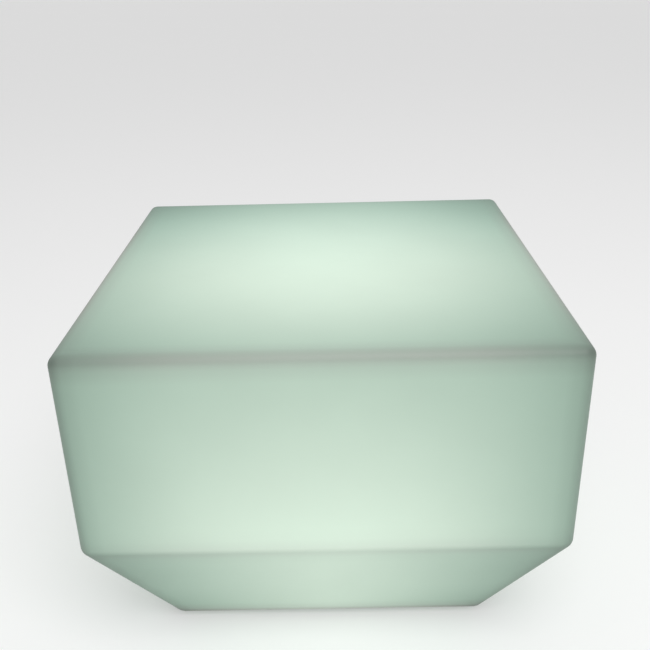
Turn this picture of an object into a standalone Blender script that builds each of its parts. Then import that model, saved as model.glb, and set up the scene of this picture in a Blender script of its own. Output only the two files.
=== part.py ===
"""A light-up stool: a moulded translucent shell that glows, with a rechargeable lamp unit in its base.

Metres, +Z up. The origin is on the floor, under the middle of the seat, and the front faces -Y.
"""

import math

import bmesh
import bpy
from mathutils import Matrix, Vector

# Fits shared by all pieces
SEAT_GAP = 0.0003
SOLDER_GAP = 0.0001
CUT_OVERRUN = 0.002
ROOT_DEPTH = 0.001
MERGE_DISTANCE = 0.00001
SHARP_ANGLE = math.radians(32)
LARGE_SIDES = 40
MEDIUM_SIDES = 20
SMALL_SIDES = 16
TINY_SIDES = 12

# Shell: a square box on a base that draws in on all four sides
SEAT_WIDTH = 0.540
BOX_HEIGHT = 0.238
TAPER_HEIGHT = 0.162
BASE_INSET = 0.081
SHELL_WALL = 0.0045
EDGE_RADIUS = 0.014
SEAM_BEVEL_SHARE = 0.45
BASE_BEVEL_SHARE = 0.70
EDGE_STEPS = 4

# Pocket in the base that the lamp unit hangs in
POCKET_DEPTH = 0.024
POCKET_DRAFT = 0.0015
POCKET_LEDGE = 0.020
POCKET_CORNER = 0.005
HOUSING_CLEARANCE = 0.0015
FLANGE_CLEARANCE = 0.002
BOSS_WALL = 0.0040
BOSS_CAP = 0.003

# Lamp fasteners
LAMP_SCREW_COUNT = 6
LAMP_SHANK_RADIUS = 0.0019
LAMP_SHANK_LENGTH = 0.014
LAMP_HEAD_RADIUS = 0.0040
LAMP_HEAD_HEIGHT = 0.0026
SCREW_TIP_SHARE = 0.60
SCREW_CROWN_SHARE = 0.62
SCREW_BRIM_SHARE = 0.55
SCREW_SLOT_LENGTH_SHARE = 0.75
SCREW_SLOT_WIDTH_SHARE = 0.50
SCREW_SLOT_DEPTH_SHARE = 0.50
INSERT_RADIUS = 0.0031
INSERT_LENGTH = 0.008
GASKET_THICKNESS = 0.002
GASKET_MARGIN = 0.001

# Feet
FOOT_HEIGHT = 0.006
FOOT_RADIUS = 0.016
FOOT_EDGE_MARGIN = 0.008
FOOT_WEB = 0.0018
FOOT_CHAMFER = 0.0012
FOOT_SHANK_LENGTH = 0.012
HEAD_WELL_CLEARANCE = 0.0015

# Lamp housing
FLANGE_THICKNESS = 0.0035
HOUSING_FLOOR = 0.003
HOUSING_WALL = 0.003
HOUSING_SLACK = 0.008
RIM_ABOVE_BOARD = 0.008
HOUSING_CHAMFER = 0.001

# Small screws of the lamp unit
SMALL_SHANK_RADIUS = 0.0014
SMALL_SHANK_LENGTH = 0.008
SMALL_HEAD_RADIUS = 0.0028
SMALL_HEAD_HEIGHT = 0.0018
STANDOFF_RADIUS = 0.0040
BOARD_POST_RADIUS = 0.0034

# Battery: three round cells in a cradle, under a clamp bar
CELL_COUNT = 3
CELL_RADIUS = 0.0092
CELL_LENGTH = 0.065
CELL_CHAMFER = 0.0008
NUB_RADIUS = 0.0028
NUB_LENGTH = 0.0012
BATTERY_SHIFT = 0.022
CRADLE_WALL = 0.0016
CRADLE_HEIGHT = 0.010
CLAMP_WIDTH = 0.012
CLAMP_THICKNESS = 0.0025
CLAMP_CORNER = 0.003

# Controller board and what is on it
BOARD_LENGTH = 0.078
BOARD_WIDTH = 0.032
BOARD_THICKNESS = 0.0016
BOARD_CLEARANCE = 0.002
BOARD_POST_X_SHARE = 0.90
BOARD_POST_Y_SHARE = 0.72
CHIP_SIZE = (0.0100, 0.0080, 0.0018)
CAPACITOR_RADIUS = 0.0040
CAPACITOR_HEIGHT = 0.0100
CONNECTOR_SIZE = (0.0080, 0.0060, 0.0065)
CONNECTOR_X_SHARE = 0.74
CONNECTOR_EDGE = 0.001

# Power button, its switch and its spring
BUTTON_X_SHARE = 0.56
BUTTON_RADIUS = 0.0060
BUTTON_PROUD = 0.0010
BUTTON_FLANGE_RADIUS = 0.0082
BUTTON_FLANGE_THICKNESS = 0.0010
BUTTON_STEM_RADIUS = 0.0016
BUTTON_STEM_LENGTH = 0.0015
BUTTON_CHAMFER = 0.0006
BUTTON_TRAVEL = 0.0020
SEAL_THICKNESS = 0.0008
SEAL_WIDTH = 0.0022
SWITCH_SIDE = 0.0085
SWITCH_HEIGHT = 0.0060
SWITCH_CLEARANCE = 0.0031
PLUNGER_RADIUS = 0.0014
PLUNGER_ENGAGEMENT = 0.0010
PLUNGER_SPACE = 0.0008
SPRING_RADIUS = 0.0028
SPRING_WIRE_RADIUS = 0.00025
SPRING_TURNS = 3
SPRING_POINTS_PER_TURN = 10

# Charging socket, its rubber cover and the charge light
JACK_X_SHARE = 0.56
JACK_BODY_SIZE = (0.0120, 0.0110)
NOSE_RADIUS = 0.0052
NOSE_RECESS = 0.0004
JACK_BORE_RADIUS = 0.0032
JACK_BORE_DEPTH = 0.0100
JACK_PIN_RADIUS = 0.00105
JACK_PIN_RECESS = 0.0015
COVER_THICKNESS = 0.0018
COVER_WIDTH = 0.0130
COVER_TO_HINGE = 0.0105
COVER_PAST_JACK = 0.0075
COVER_CORNER = 0.003
COVER_STRIP = 0.005
PLUG_CLEARANCE = 0.0007
PIN_CLEARANCE = 0.0006
PLUG_LENGTH = 0.0025
ANCHOR_LENGTH = 0.0062
ANCHOR_STUD_RADIUS = 0.0014
BARB_RADIUS = 0.0023
BARB_HEIGHT = 0.0012
PIPE_RADIUS = 0.0015
PIPE_COLLAR_RADIUS = 0.0025
PIPE_COLLAR_HEIGHT = 0.0010
PIPE_FRONT_SHARE = 0.45
PIPE_LENS_SHARE = 0.50

# Light engine and diffuser
LED_BOARD_CLEARANCE = 0.006
LED_BOARD_EDGE = 0.001
LED_BOARD_THICKNESS = 0.0016
STANDOFF_INSET = 0.0055
STANDOFF_COUNT = 3
FIRST_STANDOFF_ANGLE = math.radians(30)
LED_COUNT = 6
LED_RING_SHARE = 0.62
LED_SIDE = 0.0070
LED_HEIGHT = 0.0018
LED_CORNER = 0.0008
RECEIVER_RADIUS = 0.0027
RECEIVER_HEIGHT = 0.0058
RECEIVER_CROWN_SHARE = 0.50
DOME_HEIGHT = 0.034
DOME_WALL = 0.002
DOME_SKIRT = 0.005
SPIGOT_DEPTH = 0.006
DOME_STEPS = 6

# Leads inside the lamp unit
LEAD_RADIUS = 0.0011
LEAD_CLEARANCE = 0.001
LEAD_STEP = 0.0030
LEAD_BEND = 0.006

# Heights, from the floor up
shell_bottom = FOOT_HEIGHT
shell_seam = shell_bottom + TAPER_HEIGHT
shell_top = shell_seam + BOX_HEIGHT
pocket_roof = shell_bottom + POCKET_DEPTH
gasket_top = pocket_roof - SEAT_GAP
gasket_bottom = gasket_top - GASKET_THICKNESS
flange_top = gasket_bottom - SEAT_GAP
housing_bottom = flange_top - FLANGE_THICKNESS
floor_top = housing_bottom + HOUSING_FLOOR

# Battery pack and its clamp
cell_pitch = CELL_RADIUS + CELL_RADIUS + SEAT_GAP
pack_half_width = CELL_COUNT * cell_pitch / 2
pack_half_length = (CELL_LENGTH + NUB_LENGTH) / 2
cell_axis = floor_top + SEAT_GAP + CELL_RADIUS
cell_top = cell_axis + CELL_RADIUS
cradle_half_width = pack_half_width + SEAT_GAP + CRADLE_WALL
cradle_half_length = pack_half_length + SEAT_GAP + CRADLE_WALL
clamp_post_reach = pack_half_width + SEAT_GAP + CRADLE_WALL / 2 + STANDOFF_RADIUS
clamp_bottom = cell_top + SEAT_GAP
clamp_top = clamp_bottom + CLAMP_THICKNESS
clamp_posts = [(0, BATTERY_SHIFT - clamp_post_reach), (0, BATTERY_SHIFT + clamp_post_reach)]

# Button stack, which sets the height of the controller board
seal_bottom = floor_top + SEAT_GAP
seal_top = seal_bottom + SEAL_THICKNESS
button_flange_bottom = seal_top + SEAT_GAP
button_flange_top = button_flange_bottom + BUTTON_FLANGE_THICKNESS
stem_top = button_flange_top + BUTTON_STEM_LENGTH
switch_bottom = button_flange_top + BUTTON_TRAVEL + SWITCH_CLEARANCE
board_bottom = switch_bottom + SWITCH_HEIGHT + SEAT_GAP
board_top = board_bottom + BOARD_THICKNESS

# Plan of the controller board
board_back = clamp_posts[0][1] - STANDOFF_RADIUS - BOARD_CLEARANCE
board_y = board_back - BOARD_WIDTH / 2
board_front = board_back - BOARD_WIDTH
button_place = (-BUTTON_X_SHARE * BOARD_LENGTH / 2, board_y)
jack_place = (JACK_X_SHARE * BOARD_LENGTH / 2, board_y)
pipe_place = (0, board_y - PIPE_FRONT_SHARE * BOARD_WIDTH / 2)
board_post_x = BOARD_POST_X_SHARE * BOARD_LENGTH / 2
board_post_y = BOARD_POST_Y_SHARE * BOARD_WIDTH / 2
board_posts = [(-board_post_x, board_y - board_post_y), (board_post_x, board_y + board_post_y)]
connector_place = (
    -CONNECTOR_X_SHARE * BOARD_LENGTH / 2,
    board_back - CONNECTOR_EDGE - CONNECTOR_SIZE[1] / 2,
)

# The charging socket's nose, its cover's hinge and the stud that holds the cover's strap
nose_bottom = housing_bottom + NOSE_RECESS
cover_hinge = (jack_place[0] + COVER_TO_HINGE, jack_place[1])
cover_axis_height = housing_bottom - SEAT_GAP - COVER_THICKNESS / 2
anchor_start = cover_hinge[0] + COVER_THICKNESS / 2 + SEAT_GAP
stud_place = (anchor_start + ANCHOR_LENGTH / 2, jack_place[1])

# Radii of the lamp unit, from what it holds
contents_radius = max(
    math.hypot(cradle_half_length, BATTERY_SHIFT + cradle_half_width),
    math.hypot(BOARD_LENGTH / 2, board_front),
    clamp_posts[1][1] + STANDOFF_RADIUS,
)
housing_inner_radius = contents_radius + HOUSING_SLACK
housing_radius = housing_inner_radius + HOUSING_WALL
lamp_hole_radius = housing_radius + HOUSING_CLEARANCE
pocket_half_width = lamp_hole_radius + POCKET_LEDGE
flange_radius = pocket_half_width - FLANGE_CLEARANCE
screw_circle = (lamp_hole_radius + pocket_half_width) / 2
spigot_radius = housing_inner_radius - SEAT_GAP
led_board_radius = spigot_radius - DOME_WALL - LED_BOARD_EDGE
standoff_circle = led_board_radius - STANDOFF_INSET

# Heights of the light engine
small_head_top = SEAT_GAP + SMALL_HEAD_HEIGHT
tallest_content = max(clamp_top + small_head_top, board_top + SOLDER_GAP + CAPACITOR_HEIGHT)
led_board_bottom = tallest_content + LED_BOARD_CLEARANCE
led_board_top = led_board_bottom + LED_BOARD_THICKNESS
housing_rim = led_board_top + RIM_ABOVE_BOARD
dome_bottom = housing_rim + SEAT_GAP
dome_apex = dome_bottom + DOME_HEIGHT

# Screw lengths and the holes that take them
insert_bottom = pocket_roof + SEAT_GAP
insert_top = insert_bottom + INSERT_LENGTH
lamp_head_seat = housing_bottom - SEAT_GAP
lamp_screw_tip = lamp_head_seat + LAMP_SHANK_LENGTH
insert_hole_top = max(insert_top, lamp_screw_tip) + SEAT_GAP
insert_boss_top = insert_hole_top + BOSS_CAP
insert_boss_radius = INSERT_RADIUS + SEAT_GAP + BOSS_WALL
shank_hole_radius = LAMP_SHANK_RADIUS + SEAT_GAP
small_hole_radius = SMALL_SHANK_RADIUS + SEAT_GAP
small_hole_depth = SMALL_SHANK_LENGTH + SEAT_GAP

# Feet
foot_thickness = FOOT_HEIGHT - SEAT_GAP
foot_well_depth = foot_thickness - FOOT_WEB
foot_screw_seat = foot_well_depth - SEAT_GAP
foot_screw_tip = foot_screw_seat + FOOT_SHANK_LENGTH
foot_boss_top = foot_screw_tip + SEAT_GAP + BOSS_CAP
foot_boss_radius = shank_hole_radius + BOSS_WALL
base_half_width = SEAT_WIDTH / 2 - BASE_INSET
foot_offset = base_half_width - EDGE_RADIUS - FOOT_EDGE_MARGIN - FOOT_RADIUS
foot_places = [(x, y) for x in (-foot_offset, foot_offset) for y in (-foot_offset, foot_offset)]

ORIGIN = (0, 0, 0)


def clear_scene():
    """Take out whatever the scene opened with."""
    for old in list(bpy.data.objects):
        bpy.data.objects.remove(old, do_unlink=True)


def new_collection(name):
    """A collection under the scene's own."""
    made = bpy.data.collections.new(name)
    bpy.context.scene.collection.children.link(made)
    return made


def finish(name, colour, roughness, metallic=0.0):
    """A Principled material of one colour."""
    made = bpy.data.materials.new(name)
    made.use_nodes = True
    shader = made.node_tree.nodes["Principled BSDF"]
    shader.inputs["Base Color"].default_value = (*colour, 1.0)
    shader.inputs["Roughness"].default_value = roughness
    shader.inputs["Metallic"].default_value = metallic
    made.diffuse_color = (*colour, 1.0)
    return made


clear_scene()
stool = new_collection("light_up_stool")
cutters = new_collection("cutters")

glowing_polyethylene = finish("glowing_polyethylene", (0.66, 0.80, 0.70), 0.45)
white_abs = finish("white_abs", (0.78, 0.79, 0.78), 0.50)
opal_polycarbonate = finish("opal_polycarbonate", (0.86, 0.90, 0.88), 0.30)
grey_silicone = finish("grey_silicone", (0.30, 0.31, 0.32), 0.65)
black_rubber = finish("black_rubber", (0.025, 0.025, 0.027), 0.80)
plated_steel = finish("plated_steel", (0.62, 0.63, 0.64), 0.32, 1.0)
insert_brass = finish("insert_brass", (0.70, 0.50, 0.20), 0.35, 1.0)
white_solder_mask = finish("white_solder_mask", (0.85, 0.86, 0.85), 0.40)
led_package = finish("led_package", (0.88, 0.84, 0.55), 0.30)
green_circuit_board = finish("green_circuit_board", (0.02, 0.17, 0.07), 0.40)
black_component = finish("black_component", (0.03, 0.03, 0.03), 0.45)
cell_sleeve = finish("cell_sleeve", (0.06, 0.22, 0.50), 0.35)
aluminium_can = finish("aluminium_can", (0.70, 0.71, 0.72), 0.30, 1.0)
nylon_connector = finish("nylon_connector", (0.80, 0.78, 0.70), 0.45)
red_lead = finish("red_lead", (0.45, 0.03, 0.02), 0.45)
clear_acrylic = finish("clear_acrylic", (0.85, 0.90, 0.90), 0.10)


def add_object(name, data, material, place=ORIGIN):
    """Put a mesh or a curve in the scene. A shape with no material is a cutter."""
    shape = bpy.data.objects.new(name, data)
    shape.location = place
    if material is None:
        cutters.objects.link(shape)
        shape.hide_render = True
        shape.display_type = "WIRE"
        return shape
    stool.objects.link(shape)
    if not data.materials:
        data.materials.append(material)
    return shape


def mesh_of(name, shape):
    """A mesh from a bmesh, which is then freed."""
    mesh = bpy.data.meshes.new(name)
    shape.to_mesh(mesh)
    shape.free()
    return mesh


def settle(shape):
    """Replace the object's modifiers by their result, shaded smooth but for its sharp edges."""
    bpy.context.view_layer.update()
    evaluated = shape.evaluated_get(bpy.context.evaluated_depsgraph_get())
    solid = bpy.data.meshes.new_from_object(evaluated)
    shape.modifiers.clear()
    shape.data = solid
    solid.shade_smooth()
    solid.set_sharp_from_angle(angle=SHARP_ANGLE)
    return shape


def block(name, size, place=ORIGIN, material=None, corner=0.0):
    """A box standing on its origin. Its upright edges are rounded to corner."""
    shape = bmesh.new()
    bmesh.ops.create_cube(shape, size=1)
    bmesh.ops.scale(shape, vec=size, verts=shape.verts)
    bmesh.ops.translate(shape, vec=(0, 0, size[2] / 2), verts=shape.verts)
    if corner:
        upright = [e for e in shape.edges if e.verts[0].co.xy == e.verts[1].co.xy]
        bmesh.ops.bevel(shape, geom=upright, offset=corner, segments=3, profile=0.5,
                        affect="EDGES", clamp_overlap=True)
    return add_object(name, mesh_of(name, shape), material, place)


def rods(name, radius, bottom, top, places, sides, material=None):
    """Upright round rods of one size, one at each place, as one mesh."""
    shape = bmesh.new()
    for x, y in places:
        centre = Matrix.Translation((x, y, (bottom + top) / 2))
        bmesh.ops.create_cone(shape, cap_ends=True, segments=sides, radius1=radius,
                              radius2=radius, depth=top - bottom, matrix=centre)
    return add_object(name, mesh_of(name, shape), material)


def turned(name, profile, sides, place=ORIGIN, material=None):
    """A solid turned about Z. The profile runs down the outer side and back up the inner one."""
    shape = bmesh.new()
    corners = [shape.verts.new((radius, 0, height)) for radius, height in profile]
    for above, below in zip(corners, corners[1:]):
        shape.edges.new((above, below))
    if profile[0][0] and profile[-1][0]:
        shape.edges.new((corners[-1], corners[0]))
    solid = add_object(name, mesh_of(name, shape), material, place)
    turn = solid.modifiers.new("turn", "SCREW")
    turn.axis = "Z"
    turn.steps = sides
    turn.render_steps = sides
    turn.use_merge_vertices = True
    turn.merge_threshold = MERGE_DISTANCE
    turn.use_smooth_shade = True
    return settle(solid)


def combine(shape, operation, *others):
    """Cut the others out of the shape, or join them to it."""
    for other in others:
        step = shape.modifiers.new(other.name, "BOOLEAN")
        step.operation = operation
        step.solver = "EXACT"
        step.object = other


def copies(first, names, places):
    """The first piece again under each name, at each place, with the same mesh."""
    made = [first]
    for name, place in zip(names[1:], places[1:]):
        made.append(add_object(name, first.data, first.data.materials[0], place))
    return made


def numbered(word, count):
    """word_1, word_2 and so on."""
    return [f"{word}_{i + 1}" for i in range(count)]


def ring_places(count, radius, first_angle=0.0):
    """Points evenly spaced on a circle about the origin."""
    angles = [first_angle + i * math.tau / count for i in range(count)]
    return [(radius * math.cos(a), radius * math.sin(a)) for a in angles]


def at_height(places, height):
    """The same plan places, each at one height."""
    return [(x, y, height) for x, y in places]


lamp_screw_places = ring_places(LAMP_SCREW_COUNT, screw_circle)
standoff_places = ring_places(STANDOFF_COUNT, standoff_circle, FIRST_STANDOFF_ANGLE)


def tapered_block(name, offset, edge_radius, material=None):
    """The shell's outline drawn in by offset: a square box over a base with sloping sides."""
    slope = BASE_INSET / TAPER_HEIGHT
    across_slope = math.hypot(1, slope)
    half_width = SEAT_WIDTH / 2 - offset
    top = shell_top - offset
    bottom = shell_bottom + offset
    seam = shell_seam + offset * (across_slope - 1) / slope
    base_half = half_width - (seam - bottom) * slope
    shape = bmesh.new()
    bmesh.ops.create_cube(shape, size=1)
    bmesh.ops.scale(shape, vec=(half_width * 2, half_width * 2, top - bottom), verts=shape.verts)
    bmesh.ops.translate(shape, vec=(0, 0, (top + bottom) / 2), verts=shape.verts)
    weight = shape.edges.layers.float.new("bevel_weight_edge")
    whole = shape.verts[:] + shape.edges[:] + shape.faces[:]
    seam_line = bmesh.ops.bisect_plane(shape, geom=whole, plane_co=(0, 0, seam), plane_no=(0, 0, 1))
    drawn_in = base_half / half_width
    low = [v for v in shape.verts if v.co.z < (bottom + seam) / 2]
    bmesh.ops.scale(shape, vec=(drawn_in, drawn_in, 1), verts=low)
    for edge in shape.edges:
        edge[weight] = 1.0
        if all(v in low for v in edge.verts):
            edge[weight] = BASE_BEVEL_SHARE
    for edge in seam_line["geom_cut"]:
        if isinstance(edge, bmesh.types.BMEdge):
            edge[weight] = SEAM_BEVEL_SHARE
    solid = add_object(name, mesh_of(name, shape), material)
    rounding = solid.modifiers.new("rounding", "BEVEL")
    rounding.limit_method = "WEIGHT"
    rounding.width = edge_radius
    rounding.segments = EDGE_STEPS
    return solid


def pocket_form(name, offset, bottom, top):
    """The square pocket grown by offset: a block with rounded corners that widens downwards."""
    shape = bmesh.new()
    lean = POCKET_DRAFT / POCKET_DEPTH
    half_widths = [pocket_half_width + offset + (pocket_roof - z) * lean for z in (bottom, top)]
    to_corner = math.sqrt(2)
    middle = (bottom + top) / 2
    place = Matrix.Translation((0, 0, middle)) @ Matrix.Rotation(math.radians(45), 4, "Z")
    bmesh.ops.create_cone(shape, cap_ends=True, segments=4, radius1=half_widths[0] * to_corner,
                          radius2=half_widths[1] * to_corner, depth=top - bottom, matrix=place)
    upright = [e for e in shape.edges
               if min(v.co.z for v in e.verts) < middle < max(v.co.z for v in e.verts)]
    bmesh.ops.bevel(shape, geom=upright, offset=POCKET_CORNER + offset, segments=3, profile=0.5,
                    affect="EDGES", clamp_overlap=True)
    return add_object(name, mesh_of(name, shape), None)


def make_shell():
    """The one-piece moulding, with the pocket that holds the lamp unit and its screw bosses."""
    shell = tapered_block("shell", 0.0, EDGE_RADIUS, glowing_polyethylene)
    cavity_radius = max(EDGE_RADIUS - SHELL_WALL, EDGE_RADIUS * BASE_BEVEL_SHARE / 2)
    cavity = tapered_block("cavity", SHELL_WALL, cavity_radius)
    roof_top = pocket_roof + SHELL_WALL
    pocket_cup = pocket_form("pocket_cup", SHELL_WALL, shell_bottom + ROOT_DEPTH, roof_top)
    pocket_void = pocket_form("pocket_void", 0, shell_bottom - CUT_OVERRUN, pocket_roof)
    lamp_hole = rods("lamp_hole", lamp_hole_radius, pocket_roof - CUT_OVERRUN,
                     insert_boss_top + CUT_OVERRUN, [(0, 0)], LARGE_SIDES)
    insert_bosses = rods("insert_bosses", insert_boss_radius, roof_top - ROOT_DEPTH,
                         insert_boss_top, lamp_screw_places, SMALL_SIDES)
    foot_bosses = rods("foot_bosses", foot_boss_radius, shell_bottom + SHELL_WALL - ROOT_DEPTH,
                       foot_boss_top, foot_places, SMALL_SIDES)
    insert_holes = rods("insert_holes", INSERT_RADIUS + SEAT_GAP, pocket_roof - CUT_OVERRUN,
                        insert_hole_top, lamp_screw_places, TINY_SIDES)
    foot_holes = rods("foot_holes", shank_hole_radius, shell_bottom - CUT_OVERRUN,
                      foot_screw_tip + SEAT_GAP, foot_places, TINY_SIDES)
    combine(shell, "DIFFERENCE", cavity)
    combine(shell, "UNION", pocket_cup, insert_bosses, foot_bosses)
    combine(shell, "DIFFERENCE", pocket_void, lamp_hole, insert_holes, foot_holes)


def pan_screw(name, shank_radius, shank_length, head_radius, head_height, place, up=True):
    """A pan-head screw with a cross slot. Its origin is where the head seats."""
    slot_length = head_radius * 2 * SCREW_SLOT_LENGTH_SHARE * SCREW_CROWN_SHARE
    slot_width = shank_radius * SCREW_SLOT_WIDTH_SHARE
    slot_depth = head_height * SCREW_SLOT_DEPTH_SHARE
    profile = [
        (0, shank_length),
        (shank_radius * SCREW_TIP_SHARE, shank_length),
        (shank_radius, shank_length - shank_radius * SCREW_TIP_SHARE),
        (shank_radius, 0),
        (head_radius, 0),
        (head_radius, -head_height * SCREW_BRIM_SHARE),
        (head_radius * SCREW_CROWN_SHARE, -head_height),
        (0, -head_height),
    ]
    if not up:
        profile = [(radius, -height) for radius, height in reversed(profile)]
    screw = turned(name, profile, TINY_SIDES, place, plated_steel)
    crown = -head_height if up else head_height
    slot_place = (place[0], place[1], place[2] + crown - slot_depth)
    for length, width in ((slot_length, slot_width), (slot_width, slot_length)):
        slot = block(f"{name}_slot", (length, width, slot_depth * 2), slot_place)
        combine(screw, "DIFFERENCE", slot)
    return settle(screw)


def make_lamp_fasteners():
    """Brass inserts in the shell's bosses, and the screws that draw the lamp unit up to them."""
    insert = turned("threaded_insert_1", [
        (INSERT_RADIUS, INSERT_LENGTH),
        (INSERT_RADIUS, 0),
        (shank_hole_radius, 0),
        (shank_hole_radius, INSERT_LENGTH),
    ], TINY_SIDES, (*lamp_screw_places[0], insert_bottom), insert_brass)
    copies(insert, numbered("threaded_insert", LAMP_SCREW_COUNT),
           at_height(lamp_screw_places, insert_bottom))
    screw = pan_screw("lamp_screw_1", LAMP_SHANK_RADIUS, LAMP_SHANK_LENGTH, LAMP_HEAD_RADIUS,
                      LAMP_HEAD_HEIGHT, (*lamp_screw_places[0], lamp_head_seat))
    copies(screw, numbered("lamp_screw", LAMP_SCREW_COUNT),
           at_height(lamp_screw_places, lamp_head_seat))


def make_gasket():
    """The flat ring that seals the flange to the pocket's roof."""
    gasket = turned("lamp_gasket", [
        (flange_radius, gasket_top),
        (flange_radius, gasket_bottom),
        (lamp_hole_radius + GASKET_MARGIN, gasket_bottom),
        (lamp_hole_radius + GASKET_MARGIN, gasket_top),
    ], LARGE_SIDES, ORIGIN, grey_silicone)
    holes = rods("gasket_holes", shank_hole_radius, gasket_bottom - CUT_OVERRUN,
                 gasket_top + CUT_OVERRUN, lamp_screw_places, TINY_SIDES)
    combine(gasket, "DIFFERENCE", holes)


def make_feet():
    """Four rubber feet, each on a screw that sits in a well clear of the floor."""
    hole = shank_hole_radius
    well = LAMP_HEAD_RADIUS + HEAD_WELL_CLEARANCE
    names = numbered("foot", len(foot_places))
    foot = turned(names[0], [
        (FOOT_RADIUS, foot_thickness),
        (FOOT_RADIUS, FOOT_CHAMFER),
        (FOOT_RADIUS - FOOT_CHAMFER, 0),
        (well, 0),
        (well, foot_well_depth),
        (hole, foot_well_depth),
        (hole, foot_thickness),
    ], MEDIUM_SIDES, (*foot_places[0], 0), black_rubber)
    copies(foot, names, at_height(foot_places, 0))
    screw_names = numbered("foot_screw", len(foot_places))
    screw = pan_screw(screw_names[0], LAMP_SHANK_RADIUS, FOOT_SHANK_LENGTH, LAMP_HEAD_RADIUS,
                      LAMP_HEAD_HEIGHT, (*foot_places[0], foot_screw_seat))
    copies(screw, screw_names, at_height(foot_places, foot_screw_seat))


def cradle_frame():
    """The low wall round the battery pack, as a frame that is joined to the housing's floor."""
    outer = (cradle_half_length * 2, cradle_half_width * 2, CRADLE_HEIGHT + ROOT_DEPTH)
    inner = ((pack_half_length + SEAT_GAP) * 2, (pack_half_width + SEAT_GAP) * 2, outer[2] * 2)
    frame = block("cradle", outer, (0, BATTERY_SHIFT, floor_top - ROOT_DEPTH))
    room = block("cradle_room", inner, (0, BATTERY_SHIFT, floor_top - outer[2]))
    combine(frame, "DIFFERENCE", room)
    return settle(frame)


def make_housing():
    """The cup that hangs in the shell's pocket, with posts and a cradle on its floor."""
    housing = turned("lamp_housing", [
        (housing_radius, housing_rim),
        (housing_radius, flange_top),
        (flange_radius, flange_top),
        (flange_radius, housing_bottom + HOUSING_CHAMFER),
        (flange_radius - HOUSING_CHAMFER, housing_bottom),
        (0, housing_bottom),
        (0, floor_top),
        (housing_inner_radius, floor_top),
        (housing_inner_radius, housing_rim),
    ], LARGE_SIDES, ORIGIN, white_abs)
    root = floor_top - ROOT_DEPTH
    led_posts = rods("led_posts", STANDOFF_RADIUS, root, led_board_bottom - SEAT_GAP,
                     standoff_places, SMALL_SIDES)
    clamp_columns = rods("clamp_columns", STANDOFF_RADIUS, root, clamp_bottom - SEAT_GAP,
                         clamp_posts, SMALL_SIDES)
    board_columns = rods("board_columns", BOARD_POST_RADIUS, root, board_bottom - SEAT_GAP,
                         board_posts, SMALL_SIDES)
    combine(housing, "UNION", cradle_frame(), led_posts, clamp_columns, board_columns)
    through = (housing_bottom - CUT_OVERRUN, floor_top + CUT_OVERRUN)
    led_pilots = rods("led_pilots", small_hole_radius, led_board_bottom - small_hole_depth,
                      led_board_bottom + CUT_OVERRUN, standoff_places, TINY_SIDES)
    clamp_pilots = rods("clamp_pilots", small_hole_radius, clamp_bottom - small_hole_depth,
                        clamp_bottom + CUT_OVERRUN, clamp_posts, TINY_SIDES)
    board_pilots = rods("board_pilots", small_hole_radius, board_bottom - small_hole_depth,
                        board_bottom + CUT_OVERRUN, board_posts, TINY_SIDES)
    flange_holes = rods("flange_holes", shank_hole_radius, housing_bottom - CUT_OVERRUN,
                        flange_top + CUT_OVERRUN, lamp_screw_places, TINY_SIDES)
    button_hole = rods("button_hole", BUTTON_RADIUS + SEAT_GAP, *through, [button_place], MEDIUM_SIDES)
    nose_hole = rods("nose_hole", NOSE_RADIUS + SEAT_GAP, *through, [jack_place], SMALL_SIDES)
    pipe_hole = rods("pipe_hole", PIPE_RADIUS + SEAT_GAP, *through, [pipe_place], TINY_SIDES)
    stud_hole = rods("stud_hole", ANCHOR_STUD_RADIUS + SEAT_GAP, *through, [stud_place], TINY_SIDES)
    combine(housing, "DIFFERENCE", led_pilots, clamp_pilots, board_pilots, flange_holes,
            button_hole, nose_hole, pipe_hole, stud_hole)


def make_battery():
    """Three round cells side by side, held down by a bar on two posts."""
    lanes = [BATTERY_SHIFT + (i - (CELL_COUNT - 1) / 2) * cell_pitch for i in range(CELL_COUNT)]
    names = numbered("battery_cell", CELL_COUNT)
    half = pack_half_length
    places = [(0, lane, cell_axis) for lane in lanes]
    cell = turned(names[0], [
        (0, half),
        (NUB_RADIUS, half),
        (NUB_RADIUS, half - NUB_LENGTH),
        (CELL_RADIUS - CELL_CHAMFER, half - NUB_LENGTH),
        (CELL_RADIUS, half - NUB_LENGTH - CELL_CHAMFER),
        (CELL_RADIUS, CELL_CHAMFER - half),
        (CELL_RADIUS - CELL_CHAMFER, -half),
        (0, -half),
    ], MEDIUM_SIDES, places[0], cell_sleeve)
    for piece in copies(cell, names, places):
        piece.rotation_euler = (0, math.radians(90), 0)
    clamp_length = (clamp_post_reach + STANDOFF_RADIUS) * 2
    clamp = block("battery_clamp", (CLAMP_WIDTH, clamp_length, CLAMP_THICKNESS),
                  (0, BATTERY_SHIFT, clamp_bottom), white_abs, corner=CLAMP_CORNER)
    holes = rods("clamp_holes", small_hole_radius, clamp_bottom - CUT_OVERRUN,
                 clamp_top + CUT_OVERRUN, clamp_posts, TINY_SIDES)
    combine(clamp, "DIFFERENCE", holes)
    small_screws("clamp_screw", clamp_posts, clamp_top)


def small_screws(word, places, face):
    """Small pan-head screws, head up, seated on a face."""
    names = numbered(word, len(places))
    seat = face + SEAT_GAP
    screw = pan_screw(names[0], SMALL_SHANK_RADIUS, SMALL_SHANK_LENGTH, SMALL_HEAD_RADIUS,
                      SMALL_HEAD_HEIGHT, (*places[0], seat), up=False)
    copies(screw, names, at_height(places, seat))


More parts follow.
